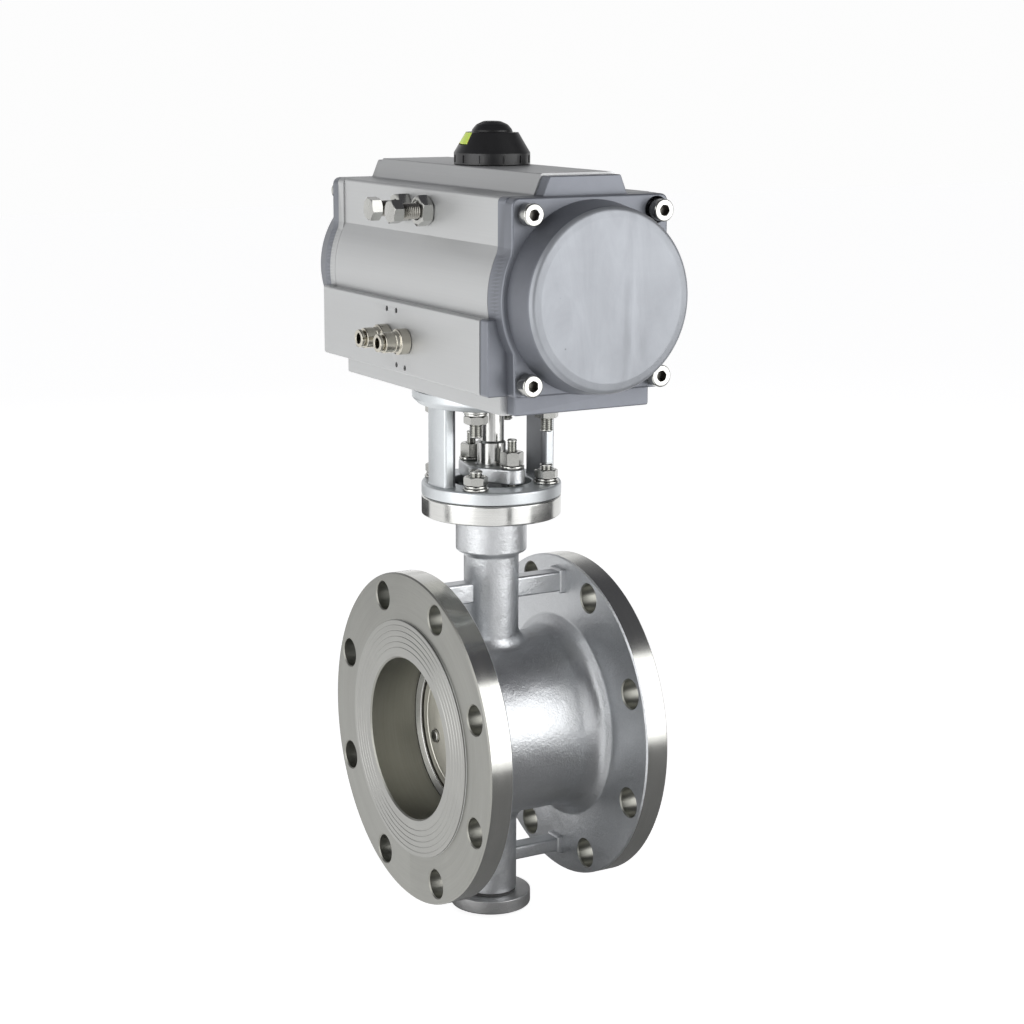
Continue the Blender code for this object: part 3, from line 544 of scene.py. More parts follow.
def chamfered_hex(name, width, low, high, bore=0.0):
    """A hexagon whose corners are turned off at 28 degrees. A bore is countersunk at both ends."""
    reach = width / math.sqrt(3) + 0.0005
    flat = 0.475 * width
    drop = (reach - flat) * math.tan(math.radians(28))
    outer = [(flat, high), (reach, high - drop), (reach, low + drop), (flat, low)]
    nut = prism(name, hexagon(width), low, high)
    if bore > 0:
        sink = 0.0006
        profile = [*outer, (bore + sink, low), (bore, low + sink), (bore, high - sink), (bore + sink, high)]
    else:
        profile = [(0, high), *outer, (0, low)]
    return combine(nut, [lathe("envelope", profile, closed=bore > 0)], "INTERSECT")


def washer(name, outer, inner, low, high, split=False):
    edge = 0.25 * (high - low)
    corners = [(outer, low, edge), (outer, high, edge), (inner, high, edge), (inner, low, edge)]
    ring = lathe(name, corners, closed=True, arc_steps=2, steps=48)
    if split:
        cut(ring, block("split", (inner * 0.7, -0.0005, low - 0.001), (outer * 1.2, 0.0005, high + 0.001)))
    return ring


def fastener(obj, *nodes, body=HOUSING, finish=FASTENER):
    piece(obj, body, "fastener", finish, *nodes)


def socket_head(name, head_r, height, socket, shank_r, shank):
    """A cap screw whose head sits on z = 0 and points up Z, its hexagon socket open."""
    profile = [
        (0, -shank), (shank_r - 0.0005, -shank), (shank_r, -shank + 0.0008), (shank_r, 0),
        (head_r - 0.0003, 0, 0.0002), (head_r, 0.0003, 0.0002), (head_r, height, 0.0009),
        (head_r * 0.62, height, 0.0003), (0, height),
    ]
    screw = lathe(name, profile, steps=72, arc_steps=4)
    hole = prism("socket", hexagon(socket), height * 0.45, height + 0.002)
    sink = height - 0.0003
    rise = height + 0.0012
    mouth = lathe("mouth", [(0, sink), (socket / 2, sink), (socket * 0.66, rise), (0, rise)], steps=36)
    cut(screw, hole, mouth)
    screw.data.materials.clear()

    def in_socket(centre, normal):
        radius = math.hypot(centre.x, centre.y)
        return int(radius < socket * 0.52 and 0 < centre.z < height - 0.0006 and normal.z > -0.9)

    # Painted shade: the socket's inner faces take the darker steel.
    paint(screw, (FASTENER, SOCKET_PAINTED_SHADE), in_socket)
    return screw


# ---- valve body

INLET_X = -0.060
OUTLET_X = 0.067
RAISED = 0.0015
FLANGE_R = 0.104
FLANGE_T = 0.0155
RAISED_R = 0.0745
BORE_R = 0.0507
CAVITY_R = 0.052
SEAT_X = -0.028
BARREL_R = 0.057
BOLT_CIRCLE_R = 0.0911
BOLT_HOLE_R = 0.009
NECK_TOP = 0.1504
STUFFING_R = 0.0145
TOP_FLANGE_R = 0.0434
INLET_BACK_X = INLET_X + RAISED + FLANGE_T
OUTLET_BACK_X = OUTLET_X - RAISED - FLANGE_T
BOLT_HOLES = circle(8, BOLT_CIRCLE_R, math.pi / 8)
F07 = circle(4, 0.035, math.pi / 4)
GLAND_R = 0.0198
GLAND_TURN = math.radians(-80)
GLAND = circle(2, GLAND_R, GLAND_TURN)


def flange_profile(face_x, inward):
    """A flange from its raised face, with the V grooves that grip the gasket, to its flare on the barrel."""
    edge = 0.0009
    rim_x = face_x + inward * RAISED
    back_x = rim_x + inward * FLANGE_T
    path = []
    for k in range(5):
        radius = 0.0575 + 0.0035 * k
        path += [(radius - 0.0004, face_x), (radius, face_x + inward * 0.00025), (radius + 0.0004, face_x)]
    return path + [
        (RAISED_R - 0.0003, face_x), (RAISED_R, face_x + inward * 0.0003), (RAISED_R, rim_x, 0.0005),
        (FLANGE_R - edge, rim_x), (FLANGE_R, rim_x + inward * edge),
        (FLANGE_R, back_x - inward * edge), (FLANGE_R - edge, back_x),
        (0.0655, back_x, 0.003), (0.0596, back_x + inward * 0.0042, 0.010),
        (BARREL_R, back_x + inward * 0.0120, 0.026)]


def ring_profile():
    """The body about the pipe's axis: both flanges, the barrel, the bore and the disc's cavity."""
    edge = 0.0009
    bore = [(BORE_R, SEAT_X), (BORE_R, INLET_X + edge), (BORE_R + edge, INLET_X)]
    cavity = [(CAVITY_R + edge, OUTLET_X), (CAVITY_R, OUTLET_X - edge), (CAVITY_R, SEAT_X)]
    return [*bore, *flange_profile(INLET_X, 1), *reversed(flange_profile(OUTLET_X, -1)), *cavity]


def neck(name, side, radius, blend_r, profile):
    """A neck on the barrel, with a fillet rolled round its foot. side is the sign of its z."""
    steps = 96
    fillet_steps = 8
    depth = 0.0012
    angles = [2 * math.pi * s / steps for s in range(steps)]
    across = radius + blend_r
    reach = BARREL_R + blend_r
    rows = []
    for k in range(fillet_steps + 1):
        row = []
        for angle in angles:
            centre = Vector((*polar(across, angle), 0))
            centre.z = math.sqrt(reach**2 - centre.y**2)
            on_neck = -Vector((*polar(1, angle), 0))
            on_barrel = -Vector((0, centre.y, centre.z)).normalized()
            direction = on_barrel.slerp(on_neck, k / fillet_steps)
            row.append(centre + direction * blend_r)
        rows.append(row)
    sunk = []
    for point in rows[0]:
        inward = Vector((0, point.y, point.z))
        sunk.append(point - inward.normalized() * depth)
    rows.insert(0, sunk)
    for r, z in rounded(profile, 5):
        rows.append([Vector((*polar(r, a), z)) for a in angles])
    shape = bmesh.new()
    made = [[shape.verts.new((p.x, p.y, side * p.z)) for p in row] for row in rows]
    foot = shape.verts.new((0, 0, side * (BARREL_R - depth)))
    top = shape.verts.new((0, 0, side * rows[-1][0].z))
    for s in range(steps):
        n = (s + 1) % steps
        shape.faces.new((foot, made[0][s], made[0][n]))
        shape.faces.new((top, made[-1][n], made[-1][s]))
        for low, high in zip(made, made[1:]):
            shape.faces.new((low[s], low[n], high[n], high[s]))
    return to_object(name, shape)


def flange_hole_cutters():
    """The bolt holes of both flanges, chamfered at each end."""
    cutters = []
    edge = 0.0007
    past = 0.002
    wide = BOLT_HOLE_R + edge + past
    for face, back in ((INLET_X + RAISED, INLET_BACK_X), (OUTLET_BACK_X, OUTLET_X - RAISED)):
        profile = [(0, face - past), (wide, face - past), (BOLT_HOLE_R, face + edge),
                   (BOLT_HOLE_R, back - edge), (wide, back + past), (0, back + past)]
        for y, z in BOLT_HOLES:
            cutters.append(lathe("hole", profile, "X", (0, y, z), steps=48))
    return merged("flange_holes", *cutters)


def rib(name, z_low, z_high, end_low, end_high):
    """The web between the flanges, a little thicker where it meets each one."""
    web = block(name, (INLET_BACK_X - 0.002, -0.006, z_low), (OUTLET_BACK_X + 0.002, 0.006, z_high))
    edge_round(web, 0.0016, 3)
    pads = []
    for x in (INLET_BACK_X - 0.002, OUTLET_BACK_X - 0.0035):
        pad = block("pad", (x, -0.0068, end_low), (x + 0.0055, 0.0068, end_high))
        pads.append(edge_round(pad, 0.0014, 3))
    return join(web, *pads)


def body_finish(centre, normal):
    """Which finish of valve_body a face has: the machined surfaces stand out from the casting."""
    cast_skin, flange_face, flange_rim, raised_face, bore, top_rim = range(6)
    x, y, z = centre
    radius = math.hypot(y, z)
    across = abs(normal.x)
    in_hole = min(math.hypot(y - a, z - b) for a, b in BOLT_HOLES) < 0.0100
    if radius < CAVITY_R + 0.0012 and abs(z) < 0.0535:
        return bore
    if z > 0.1376 and math.hypot(x, y) > 0.0225:
        return top_rim
    if INLET_BACK_X + 0.0004 <= x <= OUTLET_BACK_X - 0.0004:
        return cast_skin
    if in_hole and across < 0.8:
        return bore
    if radius < RAISED_R + 0.0002 and (x < INLET_X + 0.0012 or x > OUTLET_X - 0.0012):
        return raised_face
    if across > 0.5 and radius > 0.068:
        return flange_face if normal.x * x > 0 else cast_skin
    return flange_rim if radius > FLANGE_R - 0.0015 else cast_skin


def valve_body():
    body = lathe("valve_body_shell", ring_profile(), "X", steps=160, closed=True, arc_steps=5)
    upper = neck("upper_neck", 1, 0.0172, 0.009, [
        (0.0172, 0.1085), (0.0172, 0.1125, 0.002), (0.0222, 0.1150, 0.002), (0.0222, 0.138, 0.003),
        (TOP_FLANGE_R, 0.138, 0.0012), (TOP_FLANGE_R, NECK_TOP, 0.0010), (0.0300, NECK_TOP),
    ])
    lower = neck("lower_neck", -1, 0.0165, 0.008, [
        (0.0165, 0.1000), (0.0165, 0.1085, 0.0006), (0.0120, 0.1085),
    ])
    join(settle(body), upper, lower, rib("upper_rib", 0.0825, 0.0955, 0.0812, 0.0972),
         rib("lower_rib", -0.0925, -0.0835, -0.0940, -0.0820))
    stem_way = [
        (0, NECK_TOP + 0.004), (STUFFING_R + 0.0042, NECK_TOP + 0.004), (STUFFING_R, NECK_TOP - 0.0008),
        (STUFFING_R, 0.1177), (0.0096, 0.1177), (0.0096, 0.092), (0.0125, 0.092), (0.0125, -0.1130),
        (0, -0.1130),
    ]
    cut(body, flange_hole_cutters(), lathe("stem_way", stem_way, steps=48))
    taps = rods(GLAND, 0.0033, 0.1437, 0.155) + rods(F07, 0.0043, 0.1407, 0.155)
    cut(body, merged("taps", *taps))
    paint(body, (CAST_STEEL, FLANGE_FACE, FLANGE_RIM, RAISED_FACE, BORE_STEEL, TOP_RIM), body_finish)
    piece(body, HOUSING, "cast_stainless", CAST_STEEL, "valve_body")


def seat_and_disc():
    outer = CAVITY_R - GAP
    start = SEAT_X + GAP
    seat = lathe("seat_ring_shell", [
        (outer, -0.016), (outer, start), (0.0504, start, 0.0004), (0.0460, -0.026, 0.0008),
        (0.0496, -0.016)], "X", steps=144, closed=True, arc_steps=4)
    piece(seat, HOUSING, "machined_stainless", TURNED_STEEL, "seat_ring")

    face = -0.0245
    back = -0.0208
    sphere = 0.0514
    rim = math.sqrt(sphere**2 - back**2)
    front_rim = math.sqrt(sphere**2 - face**2)
    plate = lathe("seal_retainer_shell", [
        (0, back), (rim, back), (front_rim, face, 0.0006), (0.0405, face), (0.0400, face + 0.0004),
        (0.0395, face), (0, face)], "X", steps=144)
    places = circle(4, 0.0305, math.radians(-22.5))
    profile = [(0, face - 0.003), (0.0065, face - 0.003), (0.0045, face + 0.0003), (0.0045, face + 0.0020),
               (0, face + 0.0020)]
    sinks = [lathe("sink", profile, "X", (0, y, z), steps=40) for y, z in places]
    cut(plate, merged("sinks", *sinks))
    piece(plate, ROTOR, "machined_stainless", RETAINER_STEEL, "seal_retainer")
    masters = {}
    facing_inlet = Matrix.Rotation(-math.pi / 2, 4, "Y")
    for k, (y, z) in enumerate(places):
        place = Matrix.Translation((face + 0.0017, y, z)) @ facing_inlet @ spin(0.4 * k)
        screw = repeated(masters, "screw", f"retainer_screw_shell_{k + 1}", place,
                         lambda name: socket_head(name, 0.0042, 0.0034, 0.0040, 0.0026, 0.010))
        fastener(screw, f"retainer_screw_{k + 1}", body=ROTOR)


def bottom_cover():
    low = -0.1187
    top = -0.1098
    cover = lathe("bottom_cover_shell", [
        (0, -0.1045), (0.0115, -0.1045, 0.0004), (0.0115, top, 0.0003), (0.0256, top, 0.0008),
        (0.0256, low, 0.0012), (0.006, low), (0.0035, low + 0.0015), (0, low + 0.0015)], steps=96)
    piece(cover, HOUSING, "machined_stainless", CAST_COVER, "bottom_cover")


def gland():
    low = 0.1597
    top = 0.1690
    ear = 0.0080
    hub = 0.0160
    lean = math.degrees(math.acos((hub - ear) / GLAND_R))
    outline = [
        *arc((GLAND_R, 0), ear, -lean, lean, 18),
        *arc((0, 0), hub, lean, 180 - lean, 14),
        *arc((-GLAND_R, 0), ear, 180 - lean, 180 + lean, 18),
        *arc((0, 0), hub, 180 + lean, 360 - lean, 14),
    ]
    plate = prism("gland_follower_shell", outline, low, top)
    plate.matrix_world = spin(GLAND_TURN)
    edge_round(plate, 0.0011, 3, 50)
    sleeve = lathe("sleeve", [
        (0.0138, 0.1413), (STUFFING_R - GAP, 0.1419), (STUFFING_R - GAP, low + 0.001), (0.0110, low + 0.001),
        (0.0110, 0.1413)], closed=True, steps=72)
    join(settle(plate), sleeve)
    cut(plate, lathe("bore", [
        (0, 0.135), (0.0094, 0.135), (0.0094, top - 0.0008), (0.0112, top + 0.001), (0, top + 0.001)]))
    cut(plate, merged("holes", *rods(GLAND, 0.0036, 0.150, top + 0.003, 32)))
    piece(plate, HOUSING, "cast_stainless", CAST_STEEL, "gland_follower")
    washer_low = top + GAP
    nut_low = washer_low + 0.0016
    for k, (x, y) in enumerate(GLAND):
        at = placed(at=(x, y, 0))
        stud = lathe(f"gland_stud_shell_{k + 1}", thread_path(0.0030, 0.1440, 0.1870, 0.0010), steps=40)
        stud.matrix_world = at
        fastener(stud, f"gland_stud_{k + 1}")
        nut = chamfered_hex(f"gland_nut_shell_{k + 1}", 0.0125, nut_low, 0.1795, 0.0033)
        nut.matrix_world = at @ spin(math.radians(-24 + 14 * k))
        fastener(nut, f"gland_nut_{k + 1}")
        flat = washer(f"gland_washer_{k + 1}", 0.0076, 0.0033, washer_low, nut_low)
        flat.matrix_world = at
        fastener(flat)


def stem():
    shaft = lathe("stem_shell", [
        (0, -0.1035), (0.0082, -0.1035), (0.0090, -0.1027), (0.0090, 0.1828), (0.0083, 0.1835),
        (0.0078, 0.1841), (0.0078, 0.2352), (0.0070, 0.2360), (0, 0.2360)], steps=80)
    piece(shaft, ROTOR, "machined_stainless", TURNED_STEEL, "stem")


# ---- yoke and its bolts


def loft(name, sections):
    """A closed solid through outlines of equal point counts: sections are (outline, height)."""
    shape = bmesh.new()
    rows = [[shape.verts.new((x, y, z)) for x, y in outline] for outline, z in sections]
    shape.faces.new(rows[0])
    shape.faces.new(rows[-1])
    for low, high in zip(rows, rows[1:]):
        for k in range(len(low)):
            n = (k + 1) % len(low)
            shape.faces.new((low[k], low[n], high[n], high[k]))
    return to_object(name, shape)


def yoke_wall(side, low, high):
    """One cheek: its outer face is round and its foot and head spread into the plates."""
    fillet = 0.0018
    fillet_steps = 8
    sections = []
    for k in range(fillet_steps + 1):
        turn = math.pi / 2 * k / fillet_steps
        spread = fillet * (1 - math.sin(turn))
        height = fillet * (1 - math.cos(turn))
        sections.append((spread, low - 0.0008 + height))
    sections += [(spread, high + low - z) for spread, z in reversed(sections)]
    rows = []
    for spread, z in sections:
        half = 0.01125 + spread
        inner = 0.0304 - spread
        outer_r = 0.0400 + spread
        reach = math.degrees(math.asin(half / outer_r))
        corner_x = outer_r * math.cos(math.radians(reach))
        outline = [(inner, -half, 0.0028), (corner_x, -half, 0.0022)]
        outline += arc((0, 0), outer_r, -reach * 0.8, reach * 0.8, 10)
        outline += [(corner_x, half, 0.0022), (inner, half, 0.0028)]
        points = rounded(outline, 4, True)
        rows.append(([(side * p.x, side * p.y) for p in points], z))
    return loft("yoke_wall", rows)


def yoke():
    flange_top = 0.1587
    plate_low = 0.2080
    frame = lathe("yoke_shell", [
        (TOP_FLANGE_R, 0.1507, 0.0008), (TOP_FLANGE_R, flange_top, 0.0016), (0.0250, flange_top, 0.0008),
        (0.0250, 0.1507)], closed=True, steps=128)
    plate = lathe("plate", [
        (0.0490, 0.2167, 0.0006), (0.0200, 0.2167), (0.0200, plate_low), (0.0455, plate_low, 0.002),
        (0.0490, plate_low + 0.0035, 0.002)], closed=True, steps=128)
    join(frame, plate, yoke_wall(1, flange_top, plate_low), yoke_wall(-1, flange_top, plate_low))
    cut(frame, merged("holes", *rods(F07, 0.0046, 0.145, 0.225, 32)))

    # Painted shade: the cheeks' faces that turn towards the stem, between the plates, take the darker finish
    # in place of the shade inside the yoke.
    def inside(centre, normal):
        faces_axis = centre.x * normal.x < -0.02 * abs(centre.x)
        near_axis = math.hypot(centre.x, centre.y) < 0.036
        return int(faces_axis and near_axis and flange_top < centre.z < plate_low)

    paint(frame, (YOKE_STEEL, YOKE_PAINTED_SHADE), inside)
    piece(frame, HOUSING, "yoke_steel", YOKE_STEEL, "yoke")


def yoke_bolts():
    """The valve's four studs and the actuator's four, each with a nut, a flat washer and a spring washer."""
    masters = {}
    levels = {
        "valve": ((0.1411, 0.1710), (0.1620, 0.1675), (0.1590, 0.1603), (0.1604, 0.1619)),
        "actuator": ((0.1910, 0.2275), (0.1995, 0.2046), (0.2064, 0.2077), (0.2047, 0.2063)),
    }
    for k, (x, y) in enumerate(F07):
        place = placed(at=(x, y, 0)) @ spin(math.radians(-36 + 7 * k))
        for kind, (stud, nut, flat, spring) in levels.items():
            shapes = {
                "stud": lambda name: lathe(name, thread_path(0.0040, *stud, 0.00125), steps=40),
                "hex": lambda name: chamfered_hex(name, 0.0130, *nut, 0.0041),
                "flat": lambda name: washer(name, 0.0080, 0.0043, *flat),
                "spring": lambda name: washer(name, 0.0070, 0.0043, *spring, split=True),
            }
            for shape, make in shapes.items():
                obj = repeated(masters, (kind, shape), f"{kind}_{shape}_shell_{k + 1}", place, make)
                nodes = (f"{kind}_stud_{k + 1}",) if shape == "stud" else ()
                fastener(obj, *nodes)


# ---- actuator

AXIS_Z = 0.283
BODY_HALF_LENGTH = 0.0985
CAP_SEAT_Y = BODY_HALF_LENGTH + GAP
CAP_FLANGE_T = 0.008
CAP_FRONT_Y = CAP_SEAT_Y + 2 * CAP_FLANGE_T
CAP_FACE_Y = 0.137
BULGE_R = 0.0585
BODY_TOP = 0.352
PORT_FACE_X = -0.0635
CAP_SCREWS = [(x, z) for z in (0.331, 0.2365) for x in (-0.0427, 0.0427)]
STOPS = (-0.014, 0.014)
STOP_Z = 0.327
PORTS = (-0.009, 0.016)
PORT_Z = 0.250
PAD_HOLES = ((0.0160, 0.2670), (0.0037, 0.2670), (0.0038, 0.2344), (-0.0071, 0.2337))


def upright(outline):
    """An (x, z) outline turned for a prism along Y, whose own y runs down the frame's Z."""
    return [(point[0], -point[1], *point[2:]) for point in reversed(outline)]


def body_outline():
    left = arc((0, AXIS_Z), BULGE_R, 180 - 24.2, 180 + 10.3, 24)
    right = arc((0, AXIS_Z), BULGE_R, -48, 24.2, 36)
    return [
        (-0.0500, 0.2170, 0.0012), (0.0460, 0.2170, 0.0012), (0.0460, 0.2320, 0.0010), *right,
        (0.0510, 0.3125, 0.0014), (0.0510, 0.3400, 0.0018), (0.0290, 0.3400, 0.0016),
        (0.0240, BODY_TOP, 0.0012), (-0.0240, BODY_TOP, 0.0012), (-0.0290, 0.3400, 0.0016),
        (-0.0510, 0.3400, 0.0018), (-0.0510, 0.3125, 0.0014), *left, (-0.0580, 0.2722, 0.0004),
        (PORT_FACE_X, 0.2725, 0.0012), (PORT_FACE_X, 0.2295, 0.0018), (-0.0500, 0.2295, 0.0010),
    ]


def actuator_body():
    body = prism("actuator_body_shell", upright(body_outline()), -BODY_HALF_LENGTH, BODY_HALF_LENGTH, "Y")
    settle(body)
    bore = rod("bore", 0.047, -0.12, 0.12, "Y", (0, 0, AXIS_Z), steps=96)
    stop = [(0, -0.0535), (0.0062, -0.0535), (0.0050, -0.0500), (0.0050, -0.015), (0, -0.015)]
    port = [(0, -0.066), (0.0068, -0.066), (0.0055, -0.0620), (0.0055, -0.050), (0, -0.050)]
    pad_hole = [(0, -0.066), (0.0027, -0.066), (0.0015, -0.0631), (0.0015, -0.0585), (0, -0.0580)]
    cutters = [lathe("stop", stop, "X", (0, y, STOP_Z), steps=32) for y in STOPS]
    cutters += [lathe("port", port, "X", (0, y, PORT_Z), steps=40) for y in PORTS]
    cutters += [lathe("pad_hole", pad_hole, "X", (0, y, z), steps=24) for y, z in PAD_HOLES]
    cutters.append(rod("journal", 0.0187, 0.200, 0.245, steps=64))
    cutters.append(rod("journal", 0.0167, 0.300, 0.360, steps=64))
    cutters += rods(F07, 0.0044, 0.210, 0.228)
    cut(body, merged("pinion_bore", bore), merged("side_cutters", *cutters))
    piece(body, HOUSING, "body_aluminium", BODY_SKIN, "actuator_body")


def cap_flange():
    left = arc((0, AXIS_Z), BULGE_R, 180 - 26, 180 + 10, 20)
    right = arc((0, AXIS_Z), BULGE_R, -32, 26, 30)
    return [
        (-0.0455, 0.2175, 0.0014), (0.0445, 0.2175, 0.0014), (0.0445, 0.2290, 0.0015),
        (0.0490, 0.2330, 0.0015), *right, (0.0505, 0.3125, 0.0015), (0.0505, 0.3400, 0.0032),
        (0.0280, 0.3400, 0.0016), (0.0235, 0.3508, 0.0014), (-0.0235, 0.3508, 0.0014),
        (-0.0280, 0.3400, 0.0016), (-0.0520, 0.3400, 0.0032), (-0.0520, 0.3125, 0.0015), *left,
        (-0.0630, 0.2727, 0.0016), (-0.0630, 0.2293, 0.0018), (-0.0455, 0.2293, 0.0014),
    ]


def cap_plate():
    left = arc((0, AXIS_Z), BULGE_R, 180 - 26, 180 + 30, 26)
    right = arc((0, AXIS_Z), BULGE_R, -32, 26, 30)
    return [
        (-0.0500, 0.2290, 0.0022), (0.0450, 0.2290, 0.0022), (0.0490, 0.2330, 0.0022), *right,
        (0.0505, 0.3125, 0.0018), (0.0505, 0.3400, 0.0045), (-0.0520, 0.3400, 0.0045),
        (-0.0520, 0.3125, 0.0018), *left,
    ]


def capped_prism(name, outline, seat, front, edge, side):
    """An outline along Y with its front edge rounded over, made by drawing the outline in step by step."""
    points = rounded(upright(outline), 4, True)
    count = len(points)
    inward = []
    for k in range(count):
        along = (points[(k + 1) % count] - points[k - 1]).normalized()
        inward.append(Vector((-along.y, along.x)))
    area = sum(points[k - 1].x * points[k].y - points[k].x * points[k - 1].y for k in range(count))
    if area < 0:
        inward = [-v for v in inward]
    rows = [(points, side * seat)]
    edge_steps = 4
    for k in range(edge_steps + 1):
        turn = math.pi / 2 * k / edge_steps
        draw = edge * (1 - math.cos(turn))
        height = front - edge + edge * math.sin(turn)
        rows.append(([p + v * draw for p, v in zip(points, inward)], side * height))
    sections = [([(p.x, p.y) for p in row], z) for row, z in rows]
    obj = loft(name, sections)
    obj.matrix_world = placed("Y")
    return obj


def end_cap(name, side):
    """side is the sign of the cap's y."""
    flange_front = CAP_SEAT_Y + CAP_FLANGE_T
    face = CAP_FACE_Y
    cap = capped_prism(f"{name}_shell", cap_flange(), CAP_SEAT_Y, flange_front, 0.0008, side)
    raised = capped_prism("plate", cap_plate(), flange_front - 0.001, CAP_FRONT_Y, 0.0014, side)
    dome = [
        (0, CAP_SEAT_Y + 0.001), (0.0560, CAP_SEAT_Y + 0.001), (0.0556, flange_front + 0.004),
        (0.0525, face - 0.0040, 0.004), (0.0510, face - 0.0012, 0.004), (0.0460, face - 0.0004, 0.006),
        (0.0200, face), (0, face),
    ]
    hollow = [(0, 0.08), (0.047, 0.08), (0.047, face - 0.010), (0.044, face - 0.006), (0, face - 0.006)]
    seat = CAP_FRONT_Y - GAP
    pocket = [(0, 0.090), (0.0042, 0.090), (0.0042, seat), (0.0078, seat), (0.0078, CAP_FRONT_Y + 0.0002),
              (0.0081, 0.150), (0, 0.150)]

    def turned(title, path, x, z, steps):
        return lathe(title, [(r, side * y, *rest) for r, y, *rest in path], "Y", (x, 0, z), steps)

    dome_solid = turned("dome", dome, 0, AXIS_Z, 160)
    inside = turned("hollow", hollow, 0, AXIS_Z, 96)
    join(settle(cap), raised, dome_solid)
    pockets = [turned("pocket", pocket, x, z, 48) for x, z in CAP_SCREWS]
    cut(cap, inside, merged("pockets", *pockets))

    def cap_finish(centre, normal):
        if side > 0 and centre.y < flange_front + 0.0002:
            return 2
        return int(side * centre.y > face - 0.0030)

    paint(cap, (CAP_SKIN, CAP_FACE, BODY_SKIN), cap_finish)
    piece(cap, HOUSING, "cap_paint", CAP_SKIN, name)


def cap_screws():
    masters = {}
    for name, side in (("front_cap", -1), ("rear_cap", 1)):
        outward = Matrix.Rotation(-side * math.pi / 2, 4, "X")
        for k, (x, z) in enumerate(CAP_SCREWS):
            place = Matrix.Translation((x, side * (CAP_FRONT_Y + GAP), z)) @ outward @ spin(0.7 * k + 0.2)
            screw = repeated(masters, "screw", f"{name}_screw_shell_{k + 1}", place,
                             lambda title: socket_head(title, 0.0064, 0.0080, 0.0060, 0.0031, 0.033))
            fastener(screw, f"{name}_screw_{k + 1}")


def travel_stops():
    wall = -0.0513
    for k, y in enumerate(STOPS):
        at = (0, y, STOP_Z)
        thread = thread_path(0.0047, -0.0710, -0.0163, 0.00125)
        screw = lathe(f"travel_stop_screw_shell_{k + 1}", thread, "X", at, 40)
        fastener(screw, f"travel_stop_screw_{k + 1}", finish=BOLT_DARK)
        head = chamfered_hex(f"travel_stop_head_{k + 1}", 0.0125, -0.0765, -0.0695)
        head.matrix_world = placed("X", at) @ spin(0.25 + 0.5 * k)
        fastener(head)
        nut = chamfered_hex(f"travel_stop_nut_shell_{k + 1}", 0.0160, wall - 0.0075, wall, 0.0050)
        nut.matrix_world = placed("X", at) @ spin(0.1 + 0.3 * k)
        fastener(nut, f"travel_stop_nut_{k + 1}")


def port_fittings():
    face = PORT_FACE_X - GAP
    for k, y in enumerate(PORTS):
        at = (0, y, PORT_Z)
        shell = lathe(f"port_fitting_shell_{k + 1}", [
            (0.0052, -0.0560), (0.0052, face, 0.0002), (0.0078, face, 0.0004),
            (0.0078, face - 0.0062, 0.0007), (0.0064, face - 0.0066, 0.0003), (0.0062, face - 0.0085),
            (0.0058, face - 0.0088), (0.0058, face - 0.0096), (0.0062, face - 0.0099),
            (0.0062, face - 0.0155, 0.0006), (0.0044, face - 0.0155, 0.0004), (0.0044, face - 0.0080),
            (0.0026, face - 0.0080), (0.0026, -0.0560)],
            "X", at, steps=72, closed=True, arc_steps=3)
        piece(shell, HOUSING, "nickel_brass", NICKEL, f"port_fitting_{k + 1}")
        collar = lathe(f"release_collar_shell_{k + 1}", [
            (0.0041, face - 0.0100), (0.0041, face - 0.0172), (0.0054, face - 0.0173, 0.0003),
            (0.0054, face - 0.0190, 0.0005), (0.0031, face - 0.0190, 0.0005), (0.0031, face - 0.0100)],
            "X", at, steps=64, closed=True, arc_steps=3)
        piece(collar, f"collar_{k + 1}", "nickel_brass", NICKEL, f"release_collar_{k + 1}")


# ---- indicator

INDICATOR_R = 0.0230
BAND_Z = 0.3592
SHOULDER_R = 0.0158
SHOULDER_Z = 0.3713
INSERT_LOW = 0.3640
INDICATOR_TOP = 0.3780
# Degrees: where the first window is, and half the angle of a window and of its insert
INSERT_TURN = 171
POCKET_HALF = 21
INSERT_HALF = 20


def sector(name, inner, outer, half_angle, middle, low, high):
    """A wedge of a ring, its angles in degrees."""
    start = middle - half_angle
    end = middle + half_angle
    outline = arc((0, 0), outer, start, end, 28) + arc((0, 0), inner, end, start, 20)
    return prism(name, outline, low, high)


